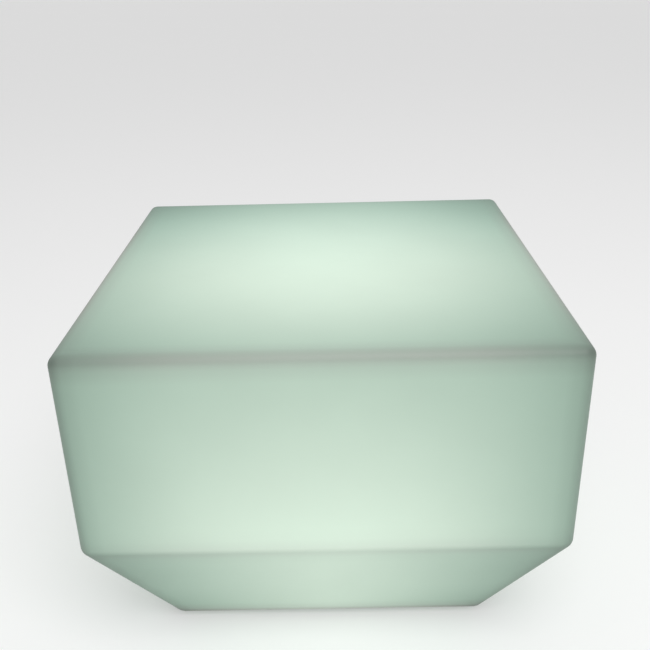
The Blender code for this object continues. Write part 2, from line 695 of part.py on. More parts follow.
def make_controller():
    """The charging and switching board, with what is soldered to it."""
    board = block("controller_board", (BOARD_LENGTH, BOARD_WIDTH, BOARD_THICKNESS),
                  (0, board_y, board_bottom), green_circuit_board)
    holes = rods("board_holes", small_hole_radius, board_bottom - CUT_OVERRUN,
                 board_top + CUT_OVERRUN, board_posts, TINY_SIDES)
    combine(board, "DIFFERENCE", holes)
    small_screws("board_screw", board_posts, board_top)
    part_seat = board_top + SOLDER_GAP
    block("driver_chip", CHIP_SIZE, (0, board_y, part_seat), black_component)
    capacitor_x = (jack_place[0] + CHIP_SIZE[0] / 2) / 2
    turned("smoothing_capacitor", [
        (0, CAPACITOR_HEIGHT),
        (CAPACITOR_RADIUS, CAPACITOR_HEIGHT),
        (CAPACITOR_RADIUS, 0),
        (0, 0),
    ], SMALL_SIDES, (capacitor_x, board_y, part_seat), aluminium_can)
    block("battery_connector", CONNECTOR_SIZE, (*connector_place, part_seat), nylon_connector)


def make_button():
    """The power button, the switch that it pushes, its return spring and its seal."""
    button = turned("button_cap", [
        (0, stem_top),
        (BUTTON_STEM_RADIUS, stem_top),
        (BUTTON_STEM_RADIUS, button_flange_top),
        (BUTTON_FLANGE_RADIUS, button_flange_top),
        (BUTTON_FLANGE_RADIUS, button_flange_bottom),
        (BUTTON_RADIUS, button_flange_bottom),
        (BUTTON_RADIUS, housing_bottom - BUTTON_PROUD + BUTTON_CHAMFER),
        (BUTTON_RADIUS - BUTTON_CHAMFER, housing_bottom - BUTTON_PROUD),
        (0, housing_bottom - BUTTON_PROUD),
    ], MEDIUM_SIDES, (*button_place, 0), grey_silicone)
    plunger_top = switch_bottom + PLUNGER_ENGAGEMENT
    turned("switch_plunger", [
        (0, plunger_top),
        (PLUNGER_RADIUS, plunger_top),
        (PLUNGER_RADIUS, stem_top + SEAT_GAP),
        (0, stem_top + SEAT_GAP),
    ], TINY_SIDES, ORIGIN, black_component).parent = button
    switch = block("push_switch", (SWITCH_SIDE, SWITCH_SIDE, SWITCH_HEIGHT),
                   (*button_place, switch_bottom), black_component)
    bore = rods("plunger_bore", PLUNGER_RADIUS + SEAT_GAP, switch_bottom - CUT_OVERRUN,
                plunger_top + BUTTON_TRAVEL + PLUNGER_SPACE, [button_place], TINY_SIDES)
    combine(switch, "DIFFERENCE", bore)
    seal_inner = BUTTON_RADIUS + SEAT_GAP
    turned("button_seal", [
        (seal_inner + SEAL_WIDTH, seal_top),
        (seal_inner + SEAL_WIDTH, seal_bottom),
        (seal_inner, seal_bottom),
        (seal_inner, seal_top),
    ], MEDIUM_SIDES, (*button_place, 0), black_rubber)
    make_spring()


def wire(name, points, radius, resolution, material):
    """A round wire along the points, closed at both ends."""
    line = bpy.data.curves.new(name, "CURVE")
    line.dimensions = "3D"
    line.bevel_depth = radius
    line.bevel_resolution = resolution
    line.use_fill_caps = True
    run = line.splines.new("POLY")
    run.points.add(len(points) - 1)
    for target, point in zip(run.points, points):
        target.co = (*point, 1.0)
    return add_object(name, line, material)


def make_spring():
    """The coil round the button's stem, from its flange up to the switch."""
    low = button_flange_top + SEAT_GAP + SPRING_WIRE_RADIUS
    high = switch_bottom - SEAT_GAP - SPRING_WIRE_RADIUS
    count = SPRING_TURNS * SPRING_POINTS_PER_TURN
    points = []
    for i in range(count + 1):
        share = i / count
        angle = share * SPRING_TURNS * math.tau
        points.append((button_place[0] + SPRING_RADIUS * math.cos(angle),
                       button_place[1] + SPRING_RADIUS * math.sin(angle),
                       low + share * (high - low)))
    wire("button_spring", points, SPRING_WIRE_RADIUS, 1, plated_steel)
    pairs = zip(points, points[SPRING_POINTS_PER_TURN:])
    least = min(math.dist(one, next_turn) for one, next_turn in pairs) - SPRING_WIRE_RADIUS * 2
    print(f"button spring, least gap between turns: {least:.5f} m")


def make_jack():
    """The barrel socket: a block under the board, a nose through the floor, and its centre pin."""
    body_height = board_bottom - floor_top - SEAT_GAP * 2
    jack = block("dc_jack", (*JACK_BODY_SIZE, body_height),
                 (*jack_place, floor_top + SEAT_GAP), black_component)
    nose = rods("jack_nose", NOSE_RADIUS, nose_bottom, floor_top + SEAT_GAP + ROOT_DEPTH,
                [jack_place], SMALL_SIDES)
    bore_top = nose_bottom + JACK_BORE_DEPTH
    bore = rods("jack_bore", JACK_BORE_RADIUS, nose_bottom - CUT_OVERRUN, bore_top,
                [jack_place], SMALL_SIDES)
    combine(jack, "UNION", nose)
    combine(jack, "DIFFERENCE", bore)
    rods("jack_pin", JACK_PIN_RADIUS, nose_bottom + JACK_PIN_RECESS, bore_top - SEAT_GAP,
         [jack_place], TINY_SIDES, plated_steel)


def make_cover():
    """The rubber cover of the socket, hinged at its strap, which a barbed stud holds."""
    plate_length = COVER_TO_HINGE + COVER_PAST_JACK
    half = COVER_THICKNESS / 2
    cover = block("port_cover", (plate_length, COVER_WIDTH, COVER_THICKNESS),
                  (*cover_hinge, cover_axis_height), grey_silicone, corner=COVER_CORNER)
    shift = Matrix.Translation((-plate_length / 2, 0, -half))
    cover.data.transform(shift)
    strip = block("cover_strip", (COVER_STRIP, COVER_WIDTH, COVER_THICKNESS),
                  (cover_hinge[0] - COVER_STRIP / 2, cover_hinge[1], cover_axis_height - half))
    barrel = add_object("cover_barrel", rod_across(half, COVER_WIDTH), None,
                        (*cover_hinge, cover_axis_height))
    plate_top = cover_axis_height + half
    plug = rods("cover_plug", JACK_BORE_RADIUS - PLUG_CLEARANCE, plate_top - half,
                plate_top + PLUG_LENGTH, [jack_place], SMALL_SIDES)
    plug_hole = rods("cover_plug_hole", JACK_PIN_RADIUS + PIN_CLEARANCE, plate_top,
                     plate_top + PLUG_LENGTH + CUT_OVERRUN, [jack_place], TINY_SIDES)
    combine(cover, "UNION", strip, barrel, plug)
    combine(cover, "DIFFERENCE", plug_hole)
    anchor = block("port_cover_anchor", (ANCHOR_LENGTH, COVER_WIDTH, COVER_THICKNESS),
                   (*stud_place, cover_axis_height - half), grey_silicone)
    barb_bottom = floor_top + SEAT_GAP
    stud = turned("anchor_stud", [
        (0, barb_bottom + BARB_HEIGHT),
        (ANCHOR_STUD_RADIUS, barb_bottom + BARB_HEIGHT),
        (BARB_RADIUS, barb_bottom),
        (ANCHOR_STUD_RADIUS, barb_bottom),
        (ANCHOR_STUD_RADIUS, cover_axis_height),
        (0, cover_axis_height),
    ], TINY_SIDES, (*stud_place, 0))
    combine(anchor, "UNION", stud)


def rod_across(radius, length):
    """The mesh of a round rod that lies along Y, centred on its origin."""
    shape = bmesh.new()
    lying = Matrix.Rotation(math.radians(90), 4, "X")
    bmesh.ops.create_cone(shape, cap_ends=True, segments=SMALL_SIDES, radius1=radius,
                          radius2=radius, depth=length, matrix=lying)
    return mesh_of("rod_across", shape)


def make_light_pipe():
    """The clear pin that carries the charge light down through the floor."""
    collar_bottom = floor_top + SEAT_GAP
    collar_top = collar_bottom + PIPE_COLLAR_HEIGHT
    turned("status_light_pipe", [
        (0, board_bottom - SEAT_GAP),
        (PIPE_RADIUS, board_bottom - SEAT_GAP),
        (PIPE_RADIUS, collar_top),
        (PIPE_COLLAR_RADIUS, collar_top),
        (PIPE_COLLAR_RADIUS, collar_bottom),
        (PIPE_RADIUS, collar_bottom),
        (PIPE_RADIUS, housing_bottom + PIPE_RADIUS * PIPE_LENS_SHARE),
        (PIPE_RADIUS * PIPE_LENS_SHARE, housing_bottom),
        (0, housing_bottom),
    ], TINY_SIDES, (*pipe_place, 0), clear_acrylic)


def make_light_engine():
    """The round LED board on its posts, its LEDs and the remote control's receiver."""
    board = rods("led_board", led_board_radius, led_board_bottom, led_board_top, [(0, 0)],
                 LARGE_SIDES, white_solder_mask)
    holes = rods("led_board_holes", small_hole_radius, led_board_bottom - CUT_OVERRUN,
                 led_board_top + CUT_OVERRUN, standoff_places, TINY_SIDES)
    combine(board, "DIFFERENCE", holes)
    small_screws("led_board_screw", standoff_places, led_board_top)
    part_seat = led_board_top + SOLDER_GAP
    places = at_height(ring_places(LED_COUNT, LED_RING_SHARE * led_board_radius), part_seat)
    names = numbered("led", LED_COUNT)
    led = block(names[0], (LED_SIDE, LED_SIDE, LED_HEIGHT), places[0], led_package, corner=LED_CORNER)
    for i, piece in enumerate(copies(led, names, places)):
        piece.rotation_euler = (0, 0, i * math.tau / LED_COUNT)
    turned("ir_receiver", [
        (0, RECEIVER_HEIGHT),
        (RECEIVER_RADIUS * RECEIVER_CROWN_SHARE, RECEIVER_HEIGHT),
        (RECEIVER_RADIUS, RECEIVER_HEIGHT - RECEIVER_RADIUS * RECEIVER_CROWN_SHARE),
        (RECEIVER_RADIUS, 0),
        (0, 0),
    ], TINY_SIDES, (0, 0, part_seat), black_component)


def dome_curve(radius, height):
    """A quarter of an ellipse, from its top on the axis out to its rim."""
    turn = [i * math.pi / 2 / DOME_STEPS for i in range(DOME_STEPS + 1)]
    return [(radius * math.sin(a), height * math.cos(a)) for a in turn]


def make_dome():
    """The opal diffuser, whose spigot drops into the housing's rim."""
    skirt_top = dome_bottom + DOME_SKIRT
    rise = dome_apex - skirt_top
    inner_radius = spigot_radius - DOME_WALL
    outer = [(radius, skirt_top + height) for radius, height in dome_curve(housing_radius, rise)]
    inner = [(radius, skirt_top + height)
             for radius, height in dome_curve(inner_radius, rise - DOME_WALL)]
    outer[0] = (0, dome_apex)
    inner[0] = (0, dome_apex - DOME_WALL)
    turned("diffuser_dome", [
        *outer,
        (housing_radius, dome_bottom),
        (spigot_radius, dome_bottom),
        (spigot_radius, dome_bottom - SPIGOT_DEPTH),
        (inner_radius, dome_bottom - SPIGOT_DEPTH),
        *reversed(inner),
    ], LARGE_SIDES, ORIGIN, opal_polycarbonate)


def smooth_route(corners, step):
    """Points about one step apart on a smooth curve through the corners."""
    knots = [Vector(c) for c in corners]
    ends = [knots[0] * 2 - knots[1], *knots, knots[-1] * 2 - knots[-2]]
    points = [knots[0]]
    for a, b, c, d in zip(ends, ends[1:], ends[2:], ends[3:]):
        count = max(1, round((c - b).length / step))
        for i in range(1, count + 1):
            t = i / count
            along = (c - a) * t + (a * 2 - b * 5 + c * 4 - d) * t**2 + (b * 3 - a - c * 3 + d) * t**3
            points.append(b + along / 2)
    return points


def make_leads():
    """The battery's lead to its connector, and the lead up to the LED board."""
    pack_end = -(pack_half_length + SEAT_GAP)
    first_lane = BATTERY_SHIFT - (CELL_COUNT - 1) / 2 * cell_pitch
    over_cradle = floor_top + CRADLE_HEIGHT + LEAD_CLEARANCE + LEAD_RADIUS
    into_connector = board_top + SOLDER_GAP + CONNECTOR_SIZE[2] / 2
    connector_face = connector_place[1] + CONNECTOR_SIZE[1] / 2 + SEAT_GAP
    turn_x = pack_end - LEAD_BEND
    turn_y = (first_lane + connector_face) / 2
    battery_route = [
        (pack_end, first_lane, over_cradle),
        (pack_end - LEAD_BEND / 2, first_lane, over_cradle),
        (turn_x, turn_y, (over_cradle + into_connector) / 2),
        (connector_place[0] - LEAD_BEND / 4, connector_face + LEAD_BEND / 2, into_connector),
        (connector_place[0], connector_face + LEAD_RADIUS * 2, into_connector),
        (connector_place[0], connector_face, into_connector),
    ]
    wire("battery_lead", smooth_route(battery_route, LEAD_STEP), LEAD_RADIUS, 2, red_lead)
    lead_x = CONNECTOR_X_SHARE * BOARD_LENGTH / 2
    start = board_top + SEAT_GAP
    end = led_board_bottom - SEAT_GAP
    middle = (start + end) / 2
    led_route = [
        (lead_x, board_y, start),
        (lead_x, board_y, (start + middle) / 2),
        (lead_x - LEAD_BEND / 2, board_y, middle),
        (lead_x - LEAD_BEND, board_y, (middle + end) / 2),
        (lead_x - LEAD_BEND, board_y, end),
    ]
    wire("led_lead", smooth_route(led_route, LEAD_STEP), LEAD_RADIUS, 2, red_lead)


make_shell()
make_lamp_fasteners()
make_gasket()
make_feet()
make_housing()
make_battery()
make_controller()
make_button()
make_jack()
make_cover()
make_light_pipe()
make_light_engine()
make_dome()
make_leads()
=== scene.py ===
import math

import bmesh
import bpy
from mathutils import Matrix, Vector


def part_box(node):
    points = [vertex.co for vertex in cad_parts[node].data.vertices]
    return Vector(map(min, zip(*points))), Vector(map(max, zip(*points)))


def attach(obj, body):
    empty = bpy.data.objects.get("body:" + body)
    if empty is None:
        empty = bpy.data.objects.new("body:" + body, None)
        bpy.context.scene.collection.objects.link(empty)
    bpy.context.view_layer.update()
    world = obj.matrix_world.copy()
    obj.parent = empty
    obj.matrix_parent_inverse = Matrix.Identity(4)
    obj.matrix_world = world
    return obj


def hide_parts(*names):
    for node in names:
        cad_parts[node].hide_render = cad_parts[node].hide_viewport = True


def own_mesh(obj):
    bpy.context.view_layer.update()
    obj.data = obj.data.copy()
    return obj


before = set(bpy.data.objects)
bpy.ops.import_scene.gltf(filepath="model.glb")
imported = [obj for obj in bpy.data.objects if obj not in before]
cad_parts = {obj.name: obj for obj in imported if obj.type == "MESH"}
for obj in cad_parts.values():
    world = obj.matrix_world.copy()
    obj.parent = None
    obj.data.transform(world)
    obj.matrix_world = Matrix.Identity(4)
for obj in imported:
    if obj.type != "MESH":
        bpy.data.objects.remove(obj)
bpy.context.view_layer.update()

# Shell: one seamless hollow moulding of milky polyethylene, a square box on a base that draws in.
# It is rotomoulded, so its wall is even and every edge is rounded. The lamp unit in the pocket
# under it lights it from inside, most where a face is near the lamp, least along its edges.
# That light is painted: a painted glow in the shell's emission, with painted shade along its edges.
shell_low, shell_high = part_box("shell")
seat_half, shell_top, shell_bottom = shell_high.x, shell_high.z, shell_low.z
BOX_HEIGHT = 0.238
BASE_INSET = 0.081
SHELL_WALL = 0.0045
seam_height = shell_top - BOX_HEIGHT
base_half = seat_half - BASE_INSET
slope = BASE_INSET / (seam_height - shell_bottom)
lean = math.hypot(1, slope)
EDGE_RADIUS = 0.014
TOP_SHARE, SEAM_SHARE, BASE_SHARE = 0.83, 0.30, 0.70
EDGE_SEGMENTS = 10
CORNER_SEGMENTS = 6
SHARP_ANGLE = math.radians(32)
POCKET_ROOF = 0.030
POCKET_HALF_WIDTH = 0.09524
POCKET_DRAFT = 0.0015
POCKET_CORNER = 0.005
MOUTH_ROUNDING = 0.0025
FLARE_STEPS = 5
LAMP_HOLE_RADIUS = 0.07524
LAMP_SCREWS = 6
SCREW_CIRCLE = 0.08524
BOSS_RADIUS, BOSS_TOP = 0.0074, 0.0416
INSERT_HOLE_RADIUS, INSERT_HOLE_TOP = 0.0034, 0.0386
FOOT_BOSS_RADIUS, FOOT_BOSS_TOP = 0.0062, 0.0189
FOOT_HOLE_RADIUS, FOOT_HOLE_TOP = 0.0022, 0.0159
OVERRUN = 0.002
ROUND_STEPS = 96
HOLE_STEPS = 24
GRID_STEP = 0.015
GRID_CLEARANCE = 0.0001
LEVEL_WITHIN = 0.00001
SAME_PLACE = 0.000001


def numbered(word, count):
    """word_1, word_2 and so on."""
    return [f"{word}_{i + 1}" for i in range(count)]


def middle_of(node):
    """The middle of a CAD node's box in plan."""
    low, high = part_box(node)
    return (low.x + high.x) / 2, (low.y + high.y) / 2


def places_of(nodes, rise=0.0):
    """Where CAD nodes stand: the middle of each box in plan, at its lowest point or that much above."""
    return [(*middle_of(node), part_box(node)[0].z + rise) for node in nodes]


def ring(count, radius, first=0.0):
    """Points evenly spaced on a circle about the origin."""
    turns = [first + i * math.tau / count for i in range(count)]
    return [(radius * math.cos(turn), radius * math.sin(turn)) for turn in turns]


def edges_at(form, height):
    """The edges that lie level at that height."""
    return [e for e in form.edges if all(abs(v.co.z - height) < LEVEL_WITHIN for v in e.verts)]


def uprights(form):
    """The edges that rise more than they run."""
    runs = [(edge, edge.verts[0].co - edge.verts[1].co) for edge in form.edges]
    return [edge for edge, run in runs if abs(run.z) > run.xy.length]


def soften(form, edges, offset, segments):
    """Round those edges of a form."""
    bmesh.ops.bevel(form, geom=edges, offset=offset, segments=segments, profile=0.5,
                    affect="EDGES", material=-1)


def cut_across(form, place, normal, clearance=0.0):
    """Cut the faces of a form where a plane crosses them, and keep both sides."""
    whole = form.verts[:] + form.edges[:] + form.faces[:]
    bmesh.ops.bisect_plane(form, geom=whole, plane_co=place, plane_no=normal, dist=clearance)


def form_of(mesh):
    """A mesh as a form to work on."""
    form = bmesh.new()
    form.from_mesh(mesh)
    return form


def into_mesh(form, mesh):
    """Put a finished form into a mesh."""
    form.to_mesh(mesh)
    form.free()


def in_scene(name, data):
    """A new object of the scene."""
    made = bpy.data.objects.new(name, data)
    bpy.context.scene.collection.objects.link(made)
    return made


def loose(name, form):
    """A form as an object of the scene, not yet a piece of the stool."""
    mesh = bpy.data.meshes.new(name)
    into_mesh(form, mesh)
    return in_scene(name, mesh)


def worked_out(made):
    """The mesh that an object's curve or modifiers come to."""
    bpy.context.view_layer.update()
    return bpy.data.meshes.new_from_object(made.evaluated_get(bpy.context.evaluated_depsgraph_get()))


def settle(made):
    """Put the result of the modifiers into the mesh."""
    mesh = worked_out(made)
    made.modifiers.clear()
    made.data = mesh
    return made


def block(size, place, corner=0.0, edge=0.0):
    """A box standing on its place. Its upright edges are rounded to corner, the others to edge."""
    form = bmesh.new()
    bmesh.ops.create_cube(form, size=1)
    bmesh.ops.scale(form, vec=size, verts=form.verts)
    bmesh.ops.translate(form, vec=(place[0], place[1], place[2] + size[2] / 2), verts=form.verts)
    if corner:
        soften(form, uprights(form), corner, CORNER_SEGMENTS)
    if edge:
        soften(form, [e for e in form.edges if e.calc_face_angle(0) > SHARP_ANGLE], edge, 2)
    return form


def rounded_stool(name, inset, segments):
    """The shell's outline drawn in by inset. The top and the seam are rounded last, all the way round."""
    half = seat_half - inset
    top, bottom = shell_top - inset, shell_bottom + inset
    seam = seam_height + inset * (lean - 1) / slope
    form = block((half * 2, half * 2, top - bottom), (0, 0, bottom))
    weight = form.edges.layers.float.new("bevel_weight_edge")
    cut_across(form, (0, 0, seam), (0, 0, 1))
    drawn_in = (half - (seam - bottom) * slope) / half
    low = [v for v in form.verts if v.co.z < (bottom + seam) / 2]
    bmesh.ops.scale(form, vec=(drawn_in, drawn_in, 1), verts=low)
    for edge in form.edges:
        edge[weight] = BASE_SHARE if any(v in low for v in edge.verts) else 1.0
    for edge in edges_at(form, top) + edges_at(form, seam):
        edge[weight] = 0.0
    made = loose(name, form)
    rounding = made.modifiers.new("rounding", "BEVEL")
    rounding.limit_method = "WEIGHT"
    rounding.width = EDGE_RADIUS
    rounding.segments = segments
    form = form_of(settle(made).data)
    soften(form, edges_at(form, top), EDGE_RADIUS * TOP_SHARE, segments)
    soften(form, edges_at(form, seam), EDGE_RADIUS * SEAM_SHARE, segments // 2)
    into_mesh(form, made.data)
    return made


def scaled(points, wide=1.0, high=1.0, across=0.0, up=0.0):
    """Part of a profile, drawn to size from that distance across and that height up."""
    return [(across + x * wide, up + z * high) for x, z in points]


def trimmed(profile):
    """A profile whose corners with a third number are cut off by that much along both sides."""
    outline = []
    for i, corner in enumerate(profile):
        here = Vector(corner[:2])
        ends = (profile[i - 1], profile[(i + 1) % len(profile)]) if len(corner) > 2 else ()
        outline += [here + (Vector(end[:2]) - here).normalized() * corner[2] for end in ends] or [here]
    return outline


def turned(profile, steps=ROUND_STEPS, axis=(0, 0)):
    """A closed solid turned about an upright axis. Its profile runs up one side and back."""
    form = bmesh.new()
    corners = [form.verts.new((radius, 0, height)) for radius, height in trimmed(profile)]
    for one, other in zip(corners, corners[1:]):
        form.edges.new((one, other))
    if profile[0][0] and profile[-1][0]:
        form.edges.new((corners[-1], corners[0]))
    bmesh.ops.spin(form, geom=form.verts[:] + form.edges[:], cent=(0, 0, 0), axis=(0, 0, 1),
                   angle=math.tau, steps=steps, use_merge=True)
    bmesh.ops.remove_doubles(form, verts=form.verts, dist=SAME_PLACE)
    bmesh.ops.recalc_face_normals(form, faces=form.faces)
    bmesh.ops.translate(form, vec=(*axis, 0), verts=form.verts)
    return form


def rods(radius, bottom, top, places, steps=HOLE_STEPS):
    """Upright round rods, one at each place, in one form."""
    form = bmesh.new()
    for x, y, *_ in places:
        centre = Matrix.Translation((x, y, (bottom + top) / 2))
        bmesh.ops.create_cone(form, cap_ends=True, segments=steps, radius1=radius,
                              radius2=radius, depth=top - bottom, matrix=centre)
    return form


def bores(radius, bottom, top, places, steps=HOLE_STEPS):
    """Rods that cut holes right through from bottom to top."""
    return rods(radius, bottom - OVERRUN, top + OVERRUN, places, steps)


def pocket_form(offset, bottom, top, flare=0.0):
    """The square pocket grown by offset: a block that widens downwards, with a flared mouth."""
    draft = POCKET_DRAFT / (POCKET_ROOF - shell_bottom)
    low, high = [POCKET_HALF_WIDTH + offset + (POCKET_ROOF - z) * draft for z in (bottom, top)]
    place = Matrix.Translation((0, 0, (bottom + top) / 2)) @ Matrix.Rotation(math.radians(45), 4, "Z")
    form = bmesh.new()
    bmesh.ops.create_cone(form, cap_ends=True, segments=4, radius1=low * math.sqrt(2),
                          radius2=high * math.sqrt(2), depth=top - bottom, matrix=place)
    soften(form, uprights(form), POCKET_CORNER + offset, CORNER_SEGMENTS)
    for i in range(FLARE_STEPS if flare else 0):
        height = shell_bottom + flare * (1 - math.sin(math.pi / 2 * i / FLARE_STEPS))
        cut_across(form, (0, 0, height), (0, 0, 1))
    for vert in form.verts:
        above = max(vert.co.z - shell_bottom, 0)
        if above < flare:
            wider = flare - math.sqrt(flare ** 2 - (flare - above) ** 2)
            grown = 1 + wider / POCKET_HALF_WIDTH
            bmesh.ops.scale(form, vec=(grown, grown, 1), verts=[vert])
    return form


def combine(base, operation, *forms, crossing=False):
    """Cut the forms out of the base, or join them to it. A crossing form overlaps itself."""
    helpers = []
    for form in forms:
        helper = loose("helper", form)
        step = base.modifiers.new("step", "BOOLEAN")
        step.operation = operation
        step.solver = "EXACT"
        step.use_self = crossing
        step.object = helper
        helpers.append(helper)
    settle(base)
    for helper in helpers:
        bpy.data.meshes.remove(helper.data)
    return base


def fit(made, material, slot, *nodes, body="stool"):
    """Shade a piece smooth between its sharp edges, and let it stand for its CAD nodes."""
    made.data.materials.clear()
    made.data.materials.append(material)
    made.data.shade_smooth()
    made.data.set_sharp_from_angle(angle=SHARP_ANGLE)
    even = made.modifiers.new("even", "WEIGHTED_NORMAL")
    even.keep_sharp = True
    settle(made)
    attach(made, body)
    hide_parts(*nodes)


screw_places = ring(LAMP_SCREWS, SCREW_CIRCLE)
foot_nodes = numbered("foot", 4)
foot_places = places_of(foot_nodes)
shell = rounded_stool("shell_moulding", 0.0, EDGE_SEGMENTS)
cavity = rounded_stool("cavity", SHELL_WALL, EDGE_SEGMENTS // 2)
cavity_form = form_of(cavity.data)
bpy.data.objects.remove(cavity)
combine(shell, "DIFFERENCE", cavity_form)
combine(shell, "UNION",
        pocket_form(SHELL_WALL, shell_bottom + SHELL_WALL / 2, POCKET_ROOF + SHELL_WALL),
        rods(BOSS_RADIUS, POCKET_ROOF + SHELL_WALL / 2, BOSS_TOP, screw_places),
        rods(FOOT_BOSS_RADIUS, shell_bottom + SHELL_WALL / 2, FOOT_BOSS_TOP, foot_places))
combine(shell, "DIFFERENCE",
        pocket_form(0.0, shell_bottom - OVERRUN, POCKET_ROOF, MOUTH_ROUNDING),
        bores(LAMP_HOLE_RADIUS, POCKET_ROOF, BOSS_TOP, [(0, 0)], ROUND_STEPS),
        rods(INSERT_HOLE_RADIUS, POCKET_ROOF - OVERRUN, INSERT_HOLE_TOP, screw_places),
        rods(FOOT_HOLE_RADIUS, shell_bottom - OVERRUN, FOOT_HOLE_TOP, foot_places))

gridded = form_of(shell.data)
for normal, low, high in (((1, 0, 0), -seat_half, seat_half), ((0, 1, 0), -seat_half, seat_half),
                          ((0, 0, 1), shell_bottom, shell_top)):
    cuts = round((high - low) / GRID_STEP)
    for i in range(1, cuts):
        cut_across(gridded, Vector(normal) * (low + (high - low) * i / cuts), normal, GRID_CLEARANCE)
into_mesh(gridded, shell.data)

# Painted light: the lamp's glow on the shell is worked out point by point below and painted into its
# emission, and the dimming along its rounded edges is painted shade.
LAMP_HEIGHT = 0.108
FALL_OFF = 1.04
SIDE_FLOOR, SIDE_REACH, SIDE_EDGE, SIDE_SETBACK = 0.35, 0.51, 0.27, 0.017
TOP_FLOOR, TOP_REACH, TOP_EDGE, TOP_CORNER = 0.345, 0.525, 0.14, 0.24
TOP_BRIGHTEST = Vector((0.002, -0.022, 0))
SIDE_BRIGHTEST = Vector((-0.006, 0, 0))
TAPER_MIDDLE, TAPER_EDGE, TAPER_POWER, TAPER_SINK = 0.745, 0.55, 1.52, 0.05
TAPER_EVENNESS, TAPER_EVEN_FROM, TAPER_EVEN_TO = 0.08, 0.2, 0.6
UNDER_FLOOR, UNDER_REACH = 0.27, 0.16
POCKET_WALL_GLOW, POCKET_ROOF_GLOW = 0.30, 0.24
UPPER_EDGE_DIMS, UPRIGHT_EDGE_DIMS, SEAM_DIMS, LOWER_EDGE_DIMS = 0.31, 0.31, 0.11, 0.44
BACK_EDGE_EASING = 0.65
UPRIGHT_GREY = 0.3
CORNER_GREENNESS, GREEN_FROM, GREEN_TO = 0.65, 0.55, 0.95
DIM_WIDTH = 0.013
CORNER_WIDENING, WIDENING_FROM = 0.25, 0.5
DAYLIGHT = (0.355, 0.375, 0.325, 0.05)
EDGE_DAYLIGHT = 0.035
DIM_LEVEL, BRIGHT_LEVEL = 0.35, 0.85
DIM_TINT = (0.715, 1.0, 0.815)
BRIGHT_TINT = (0.818, 1.0, 0.84)
EDGE_TINT = (0.89, 1.0, 0.88)
BODY_COLOUR = (0.262, 0.35, 0.293)
BACK_COOLNESS, COOL_FROM, COOL_TO = 0.04, -seat_half / 3, seat_half * 0.75


def share(value, low, high):
    """How far value is from low to high, between 0 and 1, eased at both ends."""
    t = min(max((value - low) / (high - low), 0), 1)
    return t * t * (3 - 2 * t)


def lamp_light(point, nearest, floor, reach):
    """Light on a point of a face from the lamp, which is nearest at that distance."""
    far = point.x ** 2 + point.y ** 2 + (point.z - LAMP_HEIGHT) ** 2
    return floor + reach * (nearest ** 2 / far) ** FALL_OFF


def dimming(across, up, depth):
    """How much painted shade a rounded edge puts on the glow, from the two distances to where its faces
    would meet.
    """
    return depth * math.exp(-(across ** 2 + up ** 2) / DIM_WIDTH ** 2)


def blended(side, top, taper, under, facing):
    """A value for each kind of face, blended by how far a point faces up, down and beneath."""
    upward, downward, beneath = facing
    value = side + (top - side) * upward
    value += (taper - value) * downward
    return value + (under - value) * beneath


def glow(point, normal):
    """The painted glow at a point of the shell, face by face, how grey that glow is along its edges, and
    the daylight on it.
    """
    outer, inner = max(abs(point.x), abs(point.y)), min(abs(point.x), abs(point.y))
    half_here = min(seat_half, base_half + (point.z - shell_bottom) * slope)
    side = (lamp_light(point - SIDE_BRIGHTEST, seat_half + SIDE_SETBACK, SIDE_FLOOR, SIDE_REACH)
            * (1 - SIDE_EDGE * (inner / seat_half) ** 4))
    far_out = (outer / seat_half) ** 2, (inner / seat_half) ** 2
    top = (lamp_light(point - TOP_BRIGHTEST, shell_top - LAMP_HEIGHT, TOP_FLOOR, TOP_REACH)
           * (1 - TOP_EDGE * far_out[0] ** 2) * (1 - TOP_EDGE * far_out[1] ** 2)
           * (1 - TOP_CORNER * far_out[0] * far_out[1]))
    sunk = (seam_height - point.z) / (seam_height - shell_bottom)
    taper_edge = TAPER_EDGE - TAPER_EVENNESS * share(sunk, TAPER_EVEN_FROM, TAPER_EVEN_TO)
    taper = (TAPER_MIDDLE * (1 - TAPER_SINK * max(sunk, 0) ** 2)
             * (1 - taper_edge * (inner / half_here) ** TAPER_POWER))
    under = lamp_light(point, LAMP_HEIGHT - shell_bottom, UNDER_FLOOR, UNDER_REACH)
    upward, beneath = share(normal.z, 0, 1), share(-normal.z, slope / lean, 1)
    facing = upward, share(-normal.z, 0, slope / lean), beneath
    level = blended(side, top, taper, under, facing)
    if point.z < POCKET_ROOF + OVERRUN / 2 and outer < POCKET_HALF_WIDTH + POCKET_DRAFT + MOUTH_ROUNDING:
        depth_share = share(point.z, shell_bottom, shell_bottom + MOUTH_ROUNDING)
        pocket = POCKET_ROOF_GLOW if beneath > 0.5 else POCKET_WALL_GLOW
        level += (pocket - level) * depth_share
    upper_depth = UPPER_EDGE_DIMS * (1 - BACK_EDGE_EASING * share(point.y, seat_half / 2, seat_half))
    widened = 1 + CORNER_WIDENING * share(inner / seat_half, WIDENING_FROM, 1)
    edges = (dimming(seat_half - outer, (shell_top - point.z) / widened, upper_depth)
             + dimming(seat_half - outer, seam_height - point.z, SEAM_DIMS)
             + dimming(base_half - outer, point.z - shell_bottom, LOWER_EDGE_DIMS))
    upright = dimming(half_here - outer, half_here - inner, UPRIGHT_EDGE_DIMS)
    grey = min((edges + upright * UPRIGHT_GREY) / UPPER_EDGE_DIMS, 1)
    grey *= 1 - CORNER_GREENNESS * share(inner / seat_half, GREEN_FROM, GREEN_TO)
    daylight = blended(*DAYLIGHT, facing) + EDGE_DAYLIGHT * 4 * upward * (1 - upward)
    return level * (1 - edges - upright), grey, daylight
